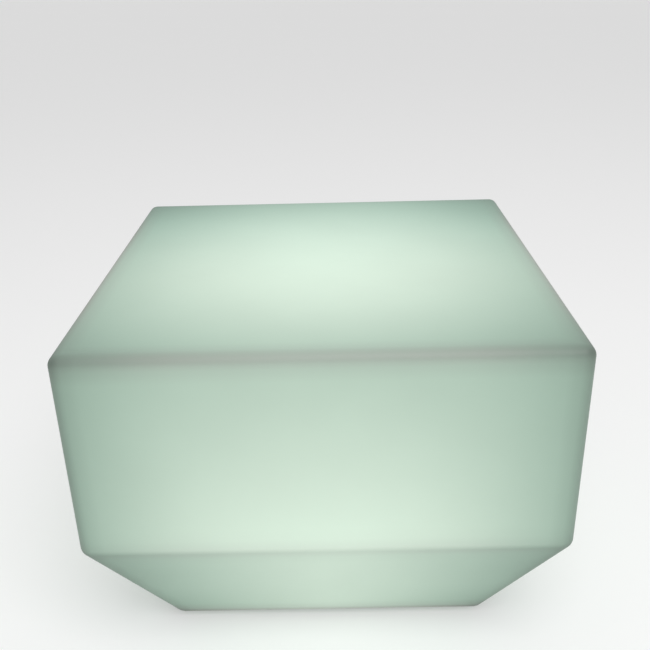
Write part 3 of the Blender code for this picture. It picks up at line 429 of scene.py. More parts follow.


# The painted glow goes to the 'glow' attribute, for the emission. The 'body' attribute is the plastic's
# colour darkened with painted shade, where the glow is dimmer than the studio light alone would show it.
lit_layer = shell.data.attributes.new("glow", "FLOAT_COLOR", "POINT")
shaded_body_layer = shell.data.attributes.new("body", "FLOAT_COLOR", "POINT")
for vertex, lit, bare in zip(shell.data.vertices, lit_layer.data, shaded_body_layer.data):
    level, grey, daylight = glow(vertex.co, vertex.normal)
    bright = share(level, DIM_LEVEL, BRIGHT_LEVEL)
    tint = [low + (high - low) * bright for low, high in zip(DIM_TINT, BRIGHT_TINT)]
    tint[0] -= BACK_COOLNESS * share(vertex.co.y, COOL_FROM, COOL_TO) * share(vertex.normal.z, 0, 1)
    wanted = [level * (t + (edge - t) * grey) for t, edge in zip(tint, EDGE_TINT)]
    unlit = [daylight * c / BODY_COLOUR[1] for c in BODY_COLOUR]
    lit.color = (*[max(w - u, 0) for w, u in zip(wanted, unlit)], 1.0)
    bare.color = (*[c * min(w / u, 1) for w, u, c in zip(wanted, unlit, BODY_COLOUR)], 1.0)


def feed(owner, node, inputs):
    """Give a shader node its inputs. Each is a number, a colour or another node's output."""
    for socket, value in inputs.items():
        if isinstance(value, bpy.types.NodeSocket):
            owner.node_tree.links.new(value, node.inputs[socket])
        else:
            node.inputs[socket].default_value = value


def add_node(owner, kind, inputs=None, **settings):
    """A new shader node with its settings and inputs."""
    made = owner.node_tree.nodes.new("ShaderNode" + kind)
    for name, value in settings.items():
        setattr(made, name, value)
    feed(owner, made, inputs or {})
    return made


def noise(material, where, scale, detail):
    """A noise pattern of that scale, between 0 and 1."""
    pattern = add_node(material, "TexNoise", {"Vector": where, "Scale": scale, "Detail": detail})
    return pattern.outputs["Fac"]


def shader_of(material):
    """The Principled shader of a material."""
    return material.node_tree.nodes["Principled BSDF"]


def shade(material, inputs):
    """Give a material's Principled shader its inputs."""
    feed(material, shader_of(material), inputs)


def new_finish(name, roughness, metallic=0.0):
    """A Principled material, and the piece's own coordinates for its patterns."""
    made = bpy.data.materials.new(name)
    made.use_nodes = True
    shade(made, {"Roughness": roughness, "Metallic": metallic})
    return made, add_node(made, "TexCoord").outputs["Object"]


# The shell's emission is the painted glow, mottled a little. Its base colour is the 'body' attribute,
# with the painted shade of the dim edges in it.
milky, where = new_finish("milky_polyethylene", 0.5)
blotches = noise(milky, where, 9.0, 3.0)
grain = noise(milky, where, 420.0, 2.0)
waviness = noise(milky, where, 7.0, 1.0)
clouding = add_node(milky, "MapRange", {"Value": blotches, "To Min": 0.96, "To Max": 1.04})
body, clouded = [add_node(milky, "VectorMath", {
    0: add_node(milky, "Attribute", attribute_name=name).outputs["Color"],
    "Scale": clouding.outputs["Result"]}, operation="SCALE") for name in ("body", "glow")]
sheen = add_node(milky, "MapRange", {"Value": grain, "To Min": 0.42, "To Max": 0.56})
relief = add_node(milky, "Bump", {"Height": grain, "Strength": 0.12, "Distance": 0.0002})
ripple = add_node(milky, "Bump", {"Height": waviness, "Strength": 0.25, "Distance": 0.002,
                                  "Normal": relief.outputs["Normal"]})
shade(milky, {"Base Color": body.outputs["Vector"], "Emission Color": clouded.outputs["Vector"],
              "Roughness": sheen.outputs["Result"], "Normal": ripple.outputs["Normal"],
              "Emission Strength": 1.0, "Specular IOR Level": 0.35})
fit(shell, milky, "glowing_polyethylene", "shell")

# Threaded inserts: six brass sleeves with two knurled bands, moulded into the bosses that stand on
# the pocket's roof. They are turned from bar, and each takes one of the lamp unit's screws.
INSERT_RADIUS = 0.0031
INSERT_BORE = 0.0022
INSERT_MOUTH = INSERT_BORE * 1.08
INSERT_LENGTH = 0.008
INSERT_LEAD_IN = ((0.88, 0), (0.88, 0.0006), (1, 0.0009))
INSERT_WAIST = ((1, -0.0007), (0.84, -0.0004), (0.84, 0.0004), (1, 0.0007))
INSERT_END = ((1, -0.0004), (0.9, 0))
INSERT_THREAD_START = 0.0003
KNURL_TEETH = 30
KNURL_BAND_SHARE = 0.98
KNURL_ROOT_SHARE = 0.92
THREAD_PITCH = 0.0007
THREAD_ROOT_SHARE = 0.86
TONE_STOPS = (0.35, 0.65)
GRAIN_RANGE = (0.3, 0.7)
GRAIN_DEPTH = 0.0001
GLOSS_SHARES = (0.85, 1.2)


def mottled(name, colour, roughness, metallic=0.0, patch=55.0, grain=1100.0, variation=0.06,
            relief=0.15, stretch=(1, 1, 1)):
    """A finish whose colour, gloss and relief vary a little, at a large and at a fine scale."""
    made, where = new_finish(name, roughness, metallic)
    drawn = add_node(made, "Mapping", {"Vector": where, "Scale": stretch}).outputs["Vector"]
    tones = add_node(made, "ValToRGB", {"Fac": noise(made, drawn, patch, 4.0)})
    for element, position, tone in zip(tones.color_ramp.elements, TONE_STOPS, (-1, 1)):
        element.position = position
        element.color = (*[min(max(c * (1 + tone * variation), 0), 1) for c in colour], 1)
    grains = noise(made, drawn, grain, 2.0)
    gloss = add_node(made, "MapRange", {
        "Value": grains, "From Min": GRAIN_RANGE[0], "From Max": GRAIN_RANGE[1],
        "To Min": roughness * GLOSS_SHARES[0], "To Max": min(roughness * GLOSS_SHARES[1], 1)})
    bump = add_node(made, "Bump", {"Height": grains, "Strength": relief, "Distance": GRAIN_DEPTH})
    shade(made, {"Base Color": tones.outputs["Color"], "Roughness": gloss.outputs["Result"],
                 "Normal": bump.outputs["Normal"]})
    return made


def thread(radius, low, high):
    """The outline of a screw thread, crest by crest, from low up to high."""
    outline = []
    for i in range(int((high - low) / THREAD_PITCH)):
        outline += [(radius * THREAD_ROOT_SHARE, low + i * THREAD_PITCH),
                    (radius, low + (i + 0.5) * THREAD_PITCH)]
    return outline


def place_each(first, prefix, nodes, material, slot, rise=0.0):
    """A copy of the first piece where each CAD node stands, and the first taken away."""
    for node, place in zip(nodes, places_of(nodes, rise)):
        mesh = first.data.copy()
        mesh.transform(Matrix.Translation(place))
        fit(in_scene(f"{prefix}_{node}", mesh), material, slot, node)
    bpy.data.objects.remove(first)


insert_form = turned([
    (INSERT_MOUTH, 0), *scaled(INSERT_LEAD_IN, INSERT_RADIUS),
    *scaled(INSERT_WAIST, INSERT_RADIUS, up=INSERT_LENGTH / 2),
    *scaled(INSERT_END, INSERT_RADIUS, up=INSERT_LENGTH), (INSERT_MOUTH, INSERT_LENGTH),
    *reversed(thread(INSERT_BORE, INSERT_THREAD_START, INSERT_LENGTH)),
], KNURL_TEETH * 2)
notches = [v for v in insert_form.verts if v.co.xy.length > INSERT_RADIUS * KNURL_BAND_SHARE
           and round(math.atan2(v.co.y, v.co.x) / math.tau * KNURL_TEETH * 2) % 2]
bmesh.ops.scale(insert_form, vec=(KNURL_ROOT_SHARE, KNURL_ROOT_SHARE, 1), verts=notches)
turned_brass = mottled("turned_brass", (0.72, 0.52, 0.22), 0.30, 1.0, stretch=(1, 1, 12))
place_each(loose("insert", insert_form), "brass", numbered("threaded_insert", LAMP_SCREWS),
           turned_brass, "insert_brass")

# Lamp housing: the white ABS cup that hangs in the pocket, with the flange that covers the hole.
# It is injection moulded in one piece with the cradle of the battery and the posts that the
# boards and the clamp are screwed to. Its underside has a fine spark-eroded texture.
housing_low, housing_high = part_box("lamp_housing")
flange_radius, housing_bottom, housing_rim = housing_high.x, housing_low.z, housing_high.z
FLANGE_TOP = 0.0274
HOUSING_RADIUS = 0.07374
HOUSING_INNER = 0.07074
FLOOR_TOP = 0.0269
EDGE_SOFTENING = 0.0006
FLANGE_ROUNDING = ((-2, 0), (-1, 0.3), (-0.3, 1), (0, 2))
GROOVE_CIRCLE = 0.0785
GROOVE_WIDTH = 0.0012
GROOVE_DEPTH = 0.0004
GROOVE_OUTLINE = ((-1 / 2, 0), (-1 / 3, 1), (1 / 3, 1), (1 / 2, 0))
STANDOFF_CIRCLE = 0.06194
STANDOFF_TURN = math.radians(30)
STANDOFFS = 3
POST_RADIUS = 0.0040
BOARD_POST_RADIUS = 0.0034
PILOT_RADIUS = 0.0017
PILOT_DEPTH = 0.0083
CRADLE_LENGTH, CRADLE_BREADTH, CRADLE_HEIGHT = 0.0700, 0.0599, 0.0100
CRADLE_WALL = 0.0016
DISH_RADIUS = 0.0098
DISH_DEPTH = 0.0006
DISH_OUTLINE = ((1, 0), (0.93, 0.55), (0.82, 1))
GAP = 0.0003
BUTTON_RADIUS = 0.0060
NOSE_RADIUS = 0.0052
PIPE_RADIUS = 0.0015
STUD_RADIUS = 0.0014
BUTTON_STEPS = 64
SMALL_STEPS = 48


def heights(node):
    """The lowest and the highest point of a CAD node."""
    low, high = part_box(node)
    return low.z, high.z


housing = loose("abs_lamp_housing", turned([
    (0, housing_bottom),
    *scaled(GROOVE_OUTLINE, GROOVE_WIDTH, GROOVE_DEPTH, GROOVE_CIRCLE, housing_bottom),
    *scaled(FLANGE_ROUNDING, EDGE_SOFTENING, EDGE_SOFTENING, flange_radius, housing_bottom),
    (flange_radius, FLANGE_TOP, EDGE_SOFTENING / 2), (HOUSING_RADIUS, FLANGE_TOP, EDGE_SOFTENING),
    (HOUSING_RADIUS, housing_rim, EDGE_SOFTENING / 2), (HOUSING_INNER, housing_rim, EDGE_SOFTENING / 2),
    (HOUSING_INNER, FLOOR_TOP, EDGE_SOFTENING), (0, FLOOR_TOP),
]))
root = (housing_bottom + FLOOR_TOP) / 2
clamp_middle, button_middle, jack_middle, pipe_middle, stud_middle = [middle_of(node) for node in (
    "battery_clamp", "button_cap", "dc_jack", "status_light_pipe", "port_cover_anchor")]
led_board_bottom, led_board_top = heights("led_board")
clamp_bottom, clamp_top = heights("battery_clamp")
board_bottom, board_top = heights("controller_board")
standoffs = ring(STANDOFFS, STANDOFF_CIRCLE, STANDOFF_TURN)
clamp_posts = places_of(numbered("clamp_screw", 2))
board_posts = places_of(numbered("board_screw", 2))
posts = [(POST_RADIUS, led_board_bottom, housing_rim, standoffs),
         (POST_RADIUS, clamp_bottom, clamp_top, clamp_posts),
         (BOARD_POST_RADIUS, board_bottom, board_top, board_posts)]
combine(housing, "UNION",
        block((CRADLE_LENGTH, CRADLE_BREADTH, FLOOR_TOP + CRADLE_HEIGHT - root), (*clamp_middle, root)),
        *[rods(radius, root, seat - GAP, places) for radius, seat, _, places in posts])
combine(housing, "DIFFERENCE", block((CRADLE_LENGTH - CRADLE_WALL * 2, CRADLE_BREADTH - CRADLE_WALL * 2,
                                      CRADLE_HEIGHT * 2), (*clamp_middle, FLOOR_TOP)))
button_hole = turned([
    (0, housing_bottom - OVERRUN), (DISH_RADIUS, housing_bottom - OVERRUN),
    *scaled(DISH_OUTLINE, DISH_RADIUS, DISH_DEPTH, up=housing_bottom),
    (BUTTON_RADIUS + GAP, housing_bottom + DISH_DEPTH), (BUTTON_RADIUS + GAP, FLOOR_TOP + OVERRUN),
    (0, FLOOR_TOP + OVERRUN),
], BUTTON_STEPS, button_middle)
combine(housing, "DIFFERENCE", button_hole,
        *[rods(PILOT_RADIUS, seat - PILOT_DEPTH, top, places) for _, seat, top, places in posts],
        bores(FOOT_HOLE_RADIUS, housing_bottom, FLANGE_TOP, screw_places),
        bores(NOSE_RADIUS + GAP, housing_bottom, FLOOR_TOP, [jack_middle], SMALL_STEPS),
        bores(PIPE_RADIUS + GAP, housing_bottom, FLOOR_TOP, [pipe_middle]),
        bores(STUD_RADIUS + GAP, housing_bottom, FLOOR_TOP, [stud_middle]))
abs_with_painted_glow = mottled("textured_white_abs_painted_glow", (0.74, 0.75, 0.74), 0.52, patch=30.0, grain=2600.0,
                       variation=0.03, relief=0.35)
# Painted glow: a faint greenish emission on the white ABS stands in for the lamp's light through its thin
# wall.
shade(abs_with_painted_glow, {"Emission Color": (0.84, 1.0, 0.88, 1), "Emission Strength": 0.11})
fit(housing, abs_with_painted_glow, "white_abs", "lamp_housing")

# Battery: three rechargeable cells side by side in the cradle, each a steel can in a blue shrink
# sleeve that leaves its ends bare, and the white ABS bar that two screws draw down over them.
CELL_RADIUS = 0.0092
CELL_NUB_RADIUS = 0.0028
CELL_NUB_FOOT = CELL_NUB_RADIUS * 1.3
CELL_NUB_LENGTH = 0.0012
CELL_SLEEVE_LIP = 0.0066
CELL_GROOVE = 0.0042
CELL_GROOVE_OUTLINE = ((0, -0.0008), (-0.0005, -0.0003), (-0.0005, 0.0003), (0, 0.0008))
CLAMP_CORNER = 0.003


def mark(made, word, test):
    """Store on each face whether its middle passes the test, for a finish of two parts."""
    layer = made.data.attributes.new(word, "FLOAT", "FACE")
    layer.data.foreach_set("value", [float(test(face.center)) for face in made.data.polygons])


def two_part(material, word, colour, roughness, metallic=0.0, glow=None):
    """Give the marked faces of a piece another colour, gloss and metal than the rest."""
    sockets = shader_of(material).inputs
    marked = add_node(material, "Attribute", attribute_name=word).outputs["Fac"]
    parts = [("Base Color", sockets["Base Color"].links[0].from_socket, (*colour, 1)),
             ("Roughness", sockets["Roughness"].links[0].from_socket, roughness)]
    if metallic != sockets["Metallic"].default_value:
        parts.append(("Metallic", sockets["Metallic"].default_value, metallic))
    if glow:
        parts.append(("Emission Color", (0, 0, 0, 1), (*glow, 1)))
        sockets["Emission Strength"].default_value = 1.0
    for socket, rest, special in parts:
        kind, first, result = ("RGBA", 6, 2) if "Color" in socket else ("FLOAT", 2, 0)
        mixed = add_node(material, "Mix", {0: marked, first: rest, first + 1: special}, data_type=kind)
        shade(material, {socket: mixed.outputs[result]})
    return material


def blank(node, corner=0.0, edge=0.0, shares=(1, 1, 1), shift=(0, 0, 0)):
    """A block that fills a CAD node's box, or those shares of it, moved by shares of it."""
    low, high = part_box(node)
    size = high - low
    start = (*middle_of(node), low.z)
    return block([length * part for length, part in zip(size, shares)],
                 [at + length * part for at, length, part in zip(start, size, shift)], corner, edge)


cell_nodes = numbered("battery_cell", 3)
cell_low, cell_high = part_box(cell_nodes[0])
cell_end = (cell_high.x - cell_low.x) / 2
shoulder = cell_end - CELL_NUB_LENGTH
cell_form = turned([
    (0, GAP - cell_end), (CELL_SLEEVE_LIP, GAP - cell_end), (CELL_SLEEVE_LIP + GAP, -cell_end),
    (CELL_RADIUS, -cell_end, EDGE_SOFTENING),
    *scaled(CELL_GROOVE_OUTLINE, across=CELL_RADIUS, up=shoulder - CELL_GROOVE),
    (CELL_RADIUS, shoulder, EDGE_SOFTENING), (CELL_SLEEVE_LIP + GAP, shoulder),
    (CELL_SLEEVE_LIP, shoulder - GAP), (CELL_NUB_FOOT, shoulder - GAP),
    (CELL_NUB_RADIUS, shoulder), (CELL_NUB_RADIUS, cell_end, GAP / 2), (0, cell_end),
], SMALL_STEPS)
bmesh.ops.rotate(cell_form, cent=(0, 0, 0), matrix=Matrix.Rotation(math.radians(90), 3, "Y"),
                 verts=cell_form.verts)
cell = loose("cell", cell_form)
mark(cell, "bare_can", lambda point: point.yz.length < CELL_SLEEVE_LIP and abs(point.x) > shoulder / 2)
shrink_sleeve = two_part(mottled("blue_shrink_sleeve", (0.055, 0.21, 0.50), 0.32, patch=40.0,
                                 variation=0.12, relief=0.10), "bare_can", (0.62, 0.63, 0.64), 0.3, 1.0)
place_each(cell, "sleeved", cell_nodes, shrink_sleeve, "cell_sleeve", CELL_RADIUS)
clamp = loose("abs_battery_clamp", blank("battery_clamp", CLAMP_CORNER, EDGE_SOFTENING / 2))
combine(clamp, "DIFFERENCE", bores(PILOT_RADIUS, clamp_bottom, clamp_top, clamp_posts))
# The clamp takes the housing's finish, painted glow and all.
fit(clamp, abs_with_painted_glow, "white_abs", "battery_clamp")

# Power button: a grey silicone cap with a dished face in the flange's hole, on a return spring of
# steel wire round its stem. Pressed, it pushes the black plunger up into the latching switch.
BUTTON_FLANGE_RADIUS = 0.0082
BUTTON_FLANGE_THICKNESS = 0.0010
BUTTON_STEM_RADIUS = 0.0016
BUTTON_DISH = ((0, 0.0004), (0.45, 0.0003), (0.72, 0.00005), (0.80, 0), (0.90, 0.00008), (0.97, 0.0003),
               (1, 0.0007))
BUTTON_TRAVEL = 0.0020
PLUNGER_RADIUS = 0.0014
PLUNGER_ROOM = 0.0008
SWITCH_CORNER = 0.0006
SEAL_INNER = 0.0063
SEAL_OUTER = 0.0085
SPRING_RADIUS = 0.0028
SPRING_WIRE = 0.00025
SPRING_TURNS = 3
SPRING_STEPS = 32
FINE_EDGE = 0.0002


def washer(inner, outer, low, high, softening, steps=ROUND_STEPS, axis=(0, 0)):
    """A flat ring with softened edges."""
    corners = ((inner, low), (outer, low), (outer, high), (inner, high))
    return turned([(radius, height, softening) for radius, height in corners], steps, axis)


face, stem_top = heights("button_cap")
seal_bottom, seal_top = heights("button_seal")
flange_low = seal_top + GAP
flange_high = flange_low + BUTTON_FLANGE_THICKNESS
cap = loose("silicone_button_cap", turned([
    *scaled(BUTTON_DISH, BUTTON_RADIUS, up=face), (BUTTON_RADIUS, flange_low),
    (BUTTON_FLANGE_RADIUS, flange_low, FINE_EDGE), (BUTTON_FLANGE_RADIUS, flange_high, FINE_EDGE),
    (BUTTON_STEM_RADIUS, flange_high), (BUTTON_STEM_RADIUS, stem_top, FINE_EDGE), (0, stem_top),
], BUTTON_STEPS, button_middle))
matt_silicone = mottled("matt_grey_silicone", (0.27, 0.28, 0.29), 0.62, patch=35.0, grain=2200.0,
                        variation=0.03, relief=0.2)
shade(matt_silicone, {"Sheen Weight": 0.15})
fit(cap, matt_silicone, "grey_silicone", "button_cap", body="power_button")
plunger_bottom, plunger_top = heights("switch_plunger")
plunger = loose("nylon_switch_plunger", turned([
    (0, plunger_bottom), (PLUNGER_RADIUS, plunger_bottom, FINE_EDGE),
    (PLUNGER_RADIUS, plunger_top, FINE_EDGE * 1.5), (0, plunger_top)], HOLE_STEPS, button_middle))
black_moulding = mottled("black_nylon", (0.030, 0.030, 0.032), 0.42, patch=200.0, grain=2400.0,
                         variation=0.15, relief=0.2)
fit(plunger, black_moulding, "black_component", "switch_plunger", body="power_button")
switch_bottom = heights("push_switch")[0]
switch = loose("nylon_push_switch", blank("push_switch", SWITCH_CORNER, FINE_EDGE))
combine(switch, "DIFFERENCE", rods(PLUNGER_RADIUS + GAP, switch_bottom - OVERRUN,
                                   plunger_top + BUTTON_TRAVEL + PLUNGER_ROOM, [button_middle]))
fit(switch, black_moulding, "black_component", "push_switch")
seal = loose("rubber_button_seal", washer(SEAL_INNER, SEAL_OUTER, seal_bottom, seal_top,
                                          (seal_top - seal_bottom) / 4, BUTTON_STEPS, button_middle))
matt_rubber = mottled("matt_black_rubber", (0.026, 0.026, 0.028), 0.78, patch=120.0, grain=1800.0,
                      variation=0.25, relief=0.35)
fit(seal, matt_rubber, "black_rubber", "button_seal")
spring_low = flange_high + GAP + SPRING_WIRE
spring_high = switch_bottom - GAP - SPRING_WIRE
wire = bpy.data.curves.new("spring_wire", "CURVE")
wire.dimensions = "3D"
wire.bevel_depth = SPRING_WIRE
wire.bevel_resolution = 3
wire.use_fill_caps = True
coil = wire.splines.new("POLY").points
coil.add(SPRING_TURNS * SPRING_STEPS)
for i, point in enumerate(coil):
    turn = i * math.tau / SPRING_STEPS
    point.co = (button_middle[0] + SPRING_RADIUS * math.cos(turn),
                button_middle[1] + SPRING_RADIUS * math.sin(turn),
                spring_low + (spring_high - spring_low) * i / (SPRING_TURNS * SPRING_STEPS), 1)
wound = in_scene("spring_wire", wire)
spring_form = form_of(worked_out(wound))
bpy.data.objects.remove(wound)
bmesh.ops.remove_doubles(spring_form, verts=spring_form.verts, dist=SAME_PLACE)
spring = loose("steel_button_spring", spring_form)
spring_wire_steel = mottled("drawn_spring_wire", (0.55, 0.56, 0.58), 0.28, 1.0, patch=400.0)
fit(spring, spring_wire_steel, "plated_steel", "button_spring")
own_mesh(spring)

# Charging socket and charge light: a black nylon barrel socket under the board, its nose through
# the housing's floor, with a bright centre pin, and the clear acrylic pin beside it.
BORE_RADIUS = 0.0032
BORE_DEPTH = 0.0100
BORE_LEAD_IN = 0.0003
NOSE_RECESS = 0.0004
NOSE_ROOT = 0.001
JACK_CORNER = 0.0005
JACK_PIN_RADIUS = 0.00105
JACK_PIN_TIP = ((0, 0), (0.5, 0.00008), (0.86, 0.0004), (1, 0.0009))
PIPE_TIP = ((0, 0), (0.5, 0.0001), (0.85, 0.00035), (1, 0.0008))
PIPE_COLLAR = ((1, 0), (5 / 3, 0), (5 / 3, 0.0010), (1, 0.0010))
jack_low, jack_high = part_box("dc_jack")
nose_bottom = housing_bottom + NOSE_RECESS
on_floor = FLOOR_TOP + GAP
jack = loose("nylon_dc_jack", block((*(jack_high - jack_low).xy, jack_high.z - on_floor),
                                    (*jack_middle, on_floor), JACK_CORNER, FINE_EDGE))
combine(jack, "UNION", turned([
    (0, nose_bottom), (NOSE_RADIUS, nose_bottom, FINE_EDGE * 2), (NOSE_RADIUS, on_floor + NOSE_ROOT),
    (0, on_floor + NOSE_ROOT)], SMALL_STEPS, jack_middle))
combine(jack, "DIFFERENCE", turned([
    (0, nose_bottom - OVERRUN), (BORE_RADIUS + BORE_LEAD_IN, nose_bottom - OVERRUN),
    (BORE_RADIUS + BORE_LEAD_IN, nose_bottom), (BORE_RADIUS, nose_bottom + BORE_LEAD_IN),
    (BORE_RADIUS, nose_bottom + BORE_DEPTH), (0, nose_bottom + BORE_DEPTH)], SMALL_STEPS, jack_middle))
fit(jack, black_moulding, "black_component", "dc_jack")
pin_bottom, pin_top = heights("jack_pin")
pin = loose("steel_jack_pin", turned([
    *scaled(JACK_PIN_TIP, JACK_PIN_RADIUS, up=pin_bottom), (JACK_PIN_RADIUS, pin_top), (0, pin_top),
], HOLE_STEPS, jack_middle))
zinc_plate = mottled("zinc_plated_steel", (0.60, 0.61, 0.62), 0.30, 1.0, patch=260.0, variation=0.12,
                     stretch=(1, 1, 6))
fit(pin, zinc_plate, "plated_steel", "jack_pin")
pipe_bottom, pipe_top = heights("status_light_pipe")
light_pipe = loose("acrylic_status_light_pipe", turned([
    *scaled(PIPE_TIP, PIPE_RADIUS, up=pipe_bottom),
    *scaled(PIPE_COLLAR, PIPE_RADIUS, up=on_floor), (PIPE_RADIUS, pipe_top), (0, pipe_top),
], HOLE_STEPS, pipe_middle))
clear_pin = mottled("clear_acrylic_pin", (0.88, 0.92, 0.92), 0.08, patch=300.0, variation=0.03)
shade(clear_pin, {"Transmission Weight": 0.45, "IOR": 1.49})
fit(light_pipe, clear_pin, "clear_acrylic", "status_light_pipe")

# Controller board: a green glass-fibre board with copper tracks under its solder mask, the driver
# chip, the smoothing capacitor and the battery's connector soldered to it, on two posts.
BOARD_CORNER = 0.0008
CHIP_PINS = 7
CHIP_PITCH = 0.00127
CHIP_BODY_SHARE = 0.72
CHIP_LIFT = 0.15
LEG_WIDTH_SHARE = 0.32
LEG_SHARES = ((1, 0.12), (0.84, 0.5))
TINNED_BEYOND, TINNED_BELOW = 1.01, 0.14
TRACK_WIDTH = 0.0005
TRACK_PITCH = 0.0012
TRACK_HEIGHT = 0.00004
COPPER_ABOVE = TRACK_HEIGHT * 0.7
TRACK_TAIL = 0.004
TRACK_END_STEPS = 12
TRACK_END_HEIGHT = TRACK_HEIGHT * 1.1
NEAREST_TRACK = 0.45
TRACK_MARGINS = (0.004, 0.003)
CLEAN_WITHIN = 0.000005
CAN_RADIUS = 0.0040
CAN_GROOVE = ((0, 0.0012), (-0.0005, 0.0017), (0, 0.0022))
CAN_SHOULDER = ((0, -0.0008), (-0.0003, -0.0002), (-0.0008, 0))
CAN_DISH, CAN_DISH_RADIUS = 0.0001, 0.0024
CAN_CROSS_LENGTH, CAN_CROSS_WIDTH, CAN_CROSS_DEPTH = 0.0052, 0.0002, 0.0004
PRINT_SHARE, PRINT_DEPTH = 0.35, 0.0006
PLUG_CORNER = 0.0003
PLUG_HOLLOWS = (((0.74, 0.5, 0.8), (0, -0.1, 0.35)), ((0.16, 1, 1), (0.3, -0.7, 0.5)),
                ((0.16, 1, 1), (-0.3, -0.7, 0.5)))
board_low, board_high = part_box("controller_board")
chip_low, chip_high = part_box("driver_chip")
chip_size = chip_high - chip_low
chip_x, chip_y = middle_of("driver_chip")
steps_out = [i - (CHIP_PINS - 1) / 2 for i in range(CHIP_PINS)]
tracks = bmesh.new()
for out in steps_out:
    leg_x = chip_x + out * CHIP_PITCH
    end_x = board_low.x + TRACK_MARGINS[0] if out < 0.5 else board_high.x - TRACK_MARGINS[0]
    far = end_x * (NEAREST_TRACK + (1 - NEAREST_TRACK) * abs(out) / CHIP_PINS * 2)
    for side, edge in ((1, board_high.y - TRACK_MARGINS[1]), (-1, board_low.y + TRACK_MARGINS[1])):
        bend = edge - side * abs(out) * TRACK_PITCH
        route = [(leg_x, chip_y + side * chip_size.y / 2), (leg_x, bend), (far, bend),
                 (far, bend - side * TRACK_TAIL)]
        for one, other in zip(route, route[1:]):
            run = Vector(other) - Vector(one)
            middle = Matrix.Translation(((one[0] + other[0]) / 2, (one[1] + other[1]) / 2, board_top))
            size = (abs(run.x) + TRACK_WIDTH, abs(run.y) + TRACK_WIDTH, TRACK_HEIGHT * 2, 1)
            bmesh.ops.create_cube(tracks, size=1, matrix=middle @ Matrix.Diagonal(size))
        end = Matrix.Translation((*route[-1], board_top))
        bmesh.ops.create_cone(tracks, cap_ends=True, segments=TRACK_END_STEPS, radius1=TRACK_WIDTH,
                              radius2=TRACK_WIDTH, depth=TRACK_END_HEIGHT * 2, matrix=end)
board = loose("laminate_controller_board", blank("controller_board", BOARD_CORNER))
combine(board, "DIFFERENCE", bores(PILOT_RADIUS, board_bottom, board_top, board_posts))
combine(board, "UNION", tracks, crossing=True)
cleaned = form_of(board.data)
bmesh.ops.remove_doubles(cleaned, verts=cleaned.verts, dist=CLEAN_WITHIN)
bmesh.ops.dissolve_degenerate(cleaned, edges=cleaned.edges, dist=CLEAN_WITHIN)
into_mesh(cleaned, board.data)
mark(board, "copper", lambda point: point.z > board_top + COPPER_ABOVE)
solder_mask = two_part(mottled("green_solder_mask", (0.018, 0.15, 0.06), 0.35, patch=80.0,
                               variation=0.10), "copper", (0.035, 0.26, 0.11), 0.28)
fit(board, solder_mask, "green_circuit_board", "controller_board")
chip = loose("epoxy_driver_chip", blank("driver_chip", 0.0, FINE_EDGE,
                                        (1, CHIP_BODY_SHARE, 1 - CHIP_LIFT), (0, 0, CHIP_LIFT)))
combine(chip, "UNION", *[
    block((CHIP_PITCH * LEG_WIDTH_SHARE, chip_size.y * length, chip_size.z * height),
          (chip_x + out * CHIP_PITCH, chip_y, chip_low.z))
    for out in steps_out for length, height in LEG_SHARES])
body_side = chip_size.y * CHIP_BODY_SHARE / 2
mark(chip, "tinned", lambda point: abs(point.y - chip_y) > body_side * TINNED_BEYOND
     or point.z < chip_low.z + chip_size.z * TINNED_BELOW)
chip_epoxy = two_part(mottled("black_chip_epoxy", (0.028, 0.028, 0.028), 0.5, patch=300.0, grain=3000.0,
                              variation=0.15), "tinned", (0.66, 0.67, 0.66), 0.35, 1.0)
fit(chip, chip_epoxy, "black_component", "driver_chip")
can_bottom, can_top = heights("smoothing_capacitor")
can_middle = middle_of("smoothing_capacitor")
can_form = turned([
    (0, can_bottom), (CAN_RADIUS, can_bottom, FINE_EDGE * 2),
    *scaled(CAN_GROOVE, across=CAN_RADIUS, up=can_bottom),
    *scaled(CAN_SHOULDER, across=CAN_RADIUS, up=can_top),
    (CAN_DISH_RADIUS, can_top - CAN_DISH), (0, can_top - CAN_DISH),
], SMALL_STEPS, can_middle)
print_edge = can_middle[0] - CAN_RADIUS * PRINT_SHARE
cut_across(can_form, (print_edge, 0, 0), (1, 0, 0))
can = loose("aluminium_smoothing_capacitor", can_form)
combine(can, "DIFFERENCE", *[
    block((*size, CAN_CROSS_DEPTH + OVERRUN), (*can_middle, can_top - CAN_CROSS_DEPTH))
    for size in ((CAN_CROSS_LENGTH, CAN_CROSS_WIDTH), (CAN_CROSS_WIDTH, CAN_CROSS_LENGTH))])
mark(can, "printed", lambda point: point.z > can_top - PRINT_DEPTH and point.x < print_edge)
drawn_can = two_part(mottled("drawn_aluminium", (0.70, 0.71, 0.72), 0.26, 1.0, patch=120.0,
                             stretch=(1, 1, 8)), "printed", (0.02, 0.02, 0.02), 0.5)
fit(can, drawn_can, "aluminium_can", "smoothing_capacitor")
plug = loose("nylon_battery_connector", blank("battery_connector", PLUG_CORNER, FINE_EDGE))
combine(plug, "DIFFERENCE", *[blank("battery_connector", shares=shares, shift=shift)
                              for shares, shift in PLUG_HOLLOWS])
natural_nylon = mottled("natural_nylon", (0.78, 0.75, 0.66), 0.4, patch=220.0, variation=0.05)
fit(plug, natural_nylon, "nylon_connector", "battery_connector")

# Small screws: zinc-plated steel, with a pan head, a cross recess and a cut thread. They hold the
# clamp, the controller board and the LED board to the housing's posts.
SMALL_SHANK = 0.0014
SMALL_LENGTH = 0.0080
SMALL_HEAD = 0.0028
SMALL_HEIGHT = 0.0018
HEAD_OUTLINE = ((0, -1), (0.50, -1), (0.78, -0.93), (0.94, -0.74), (1, -0.45), (1, -0.08), (0.97, 0))
POINT_OUTLINE = ((0.72, -0.5), (0.35, 0), (0, 0))
SCREW_STEPS = 32
RECESS_LENGTH, RECESS_WIDTH, RECESS_TAPER, RECESS_START = 1.1, 0.26, 0.62, 1.45
THREAD_START = 0.4


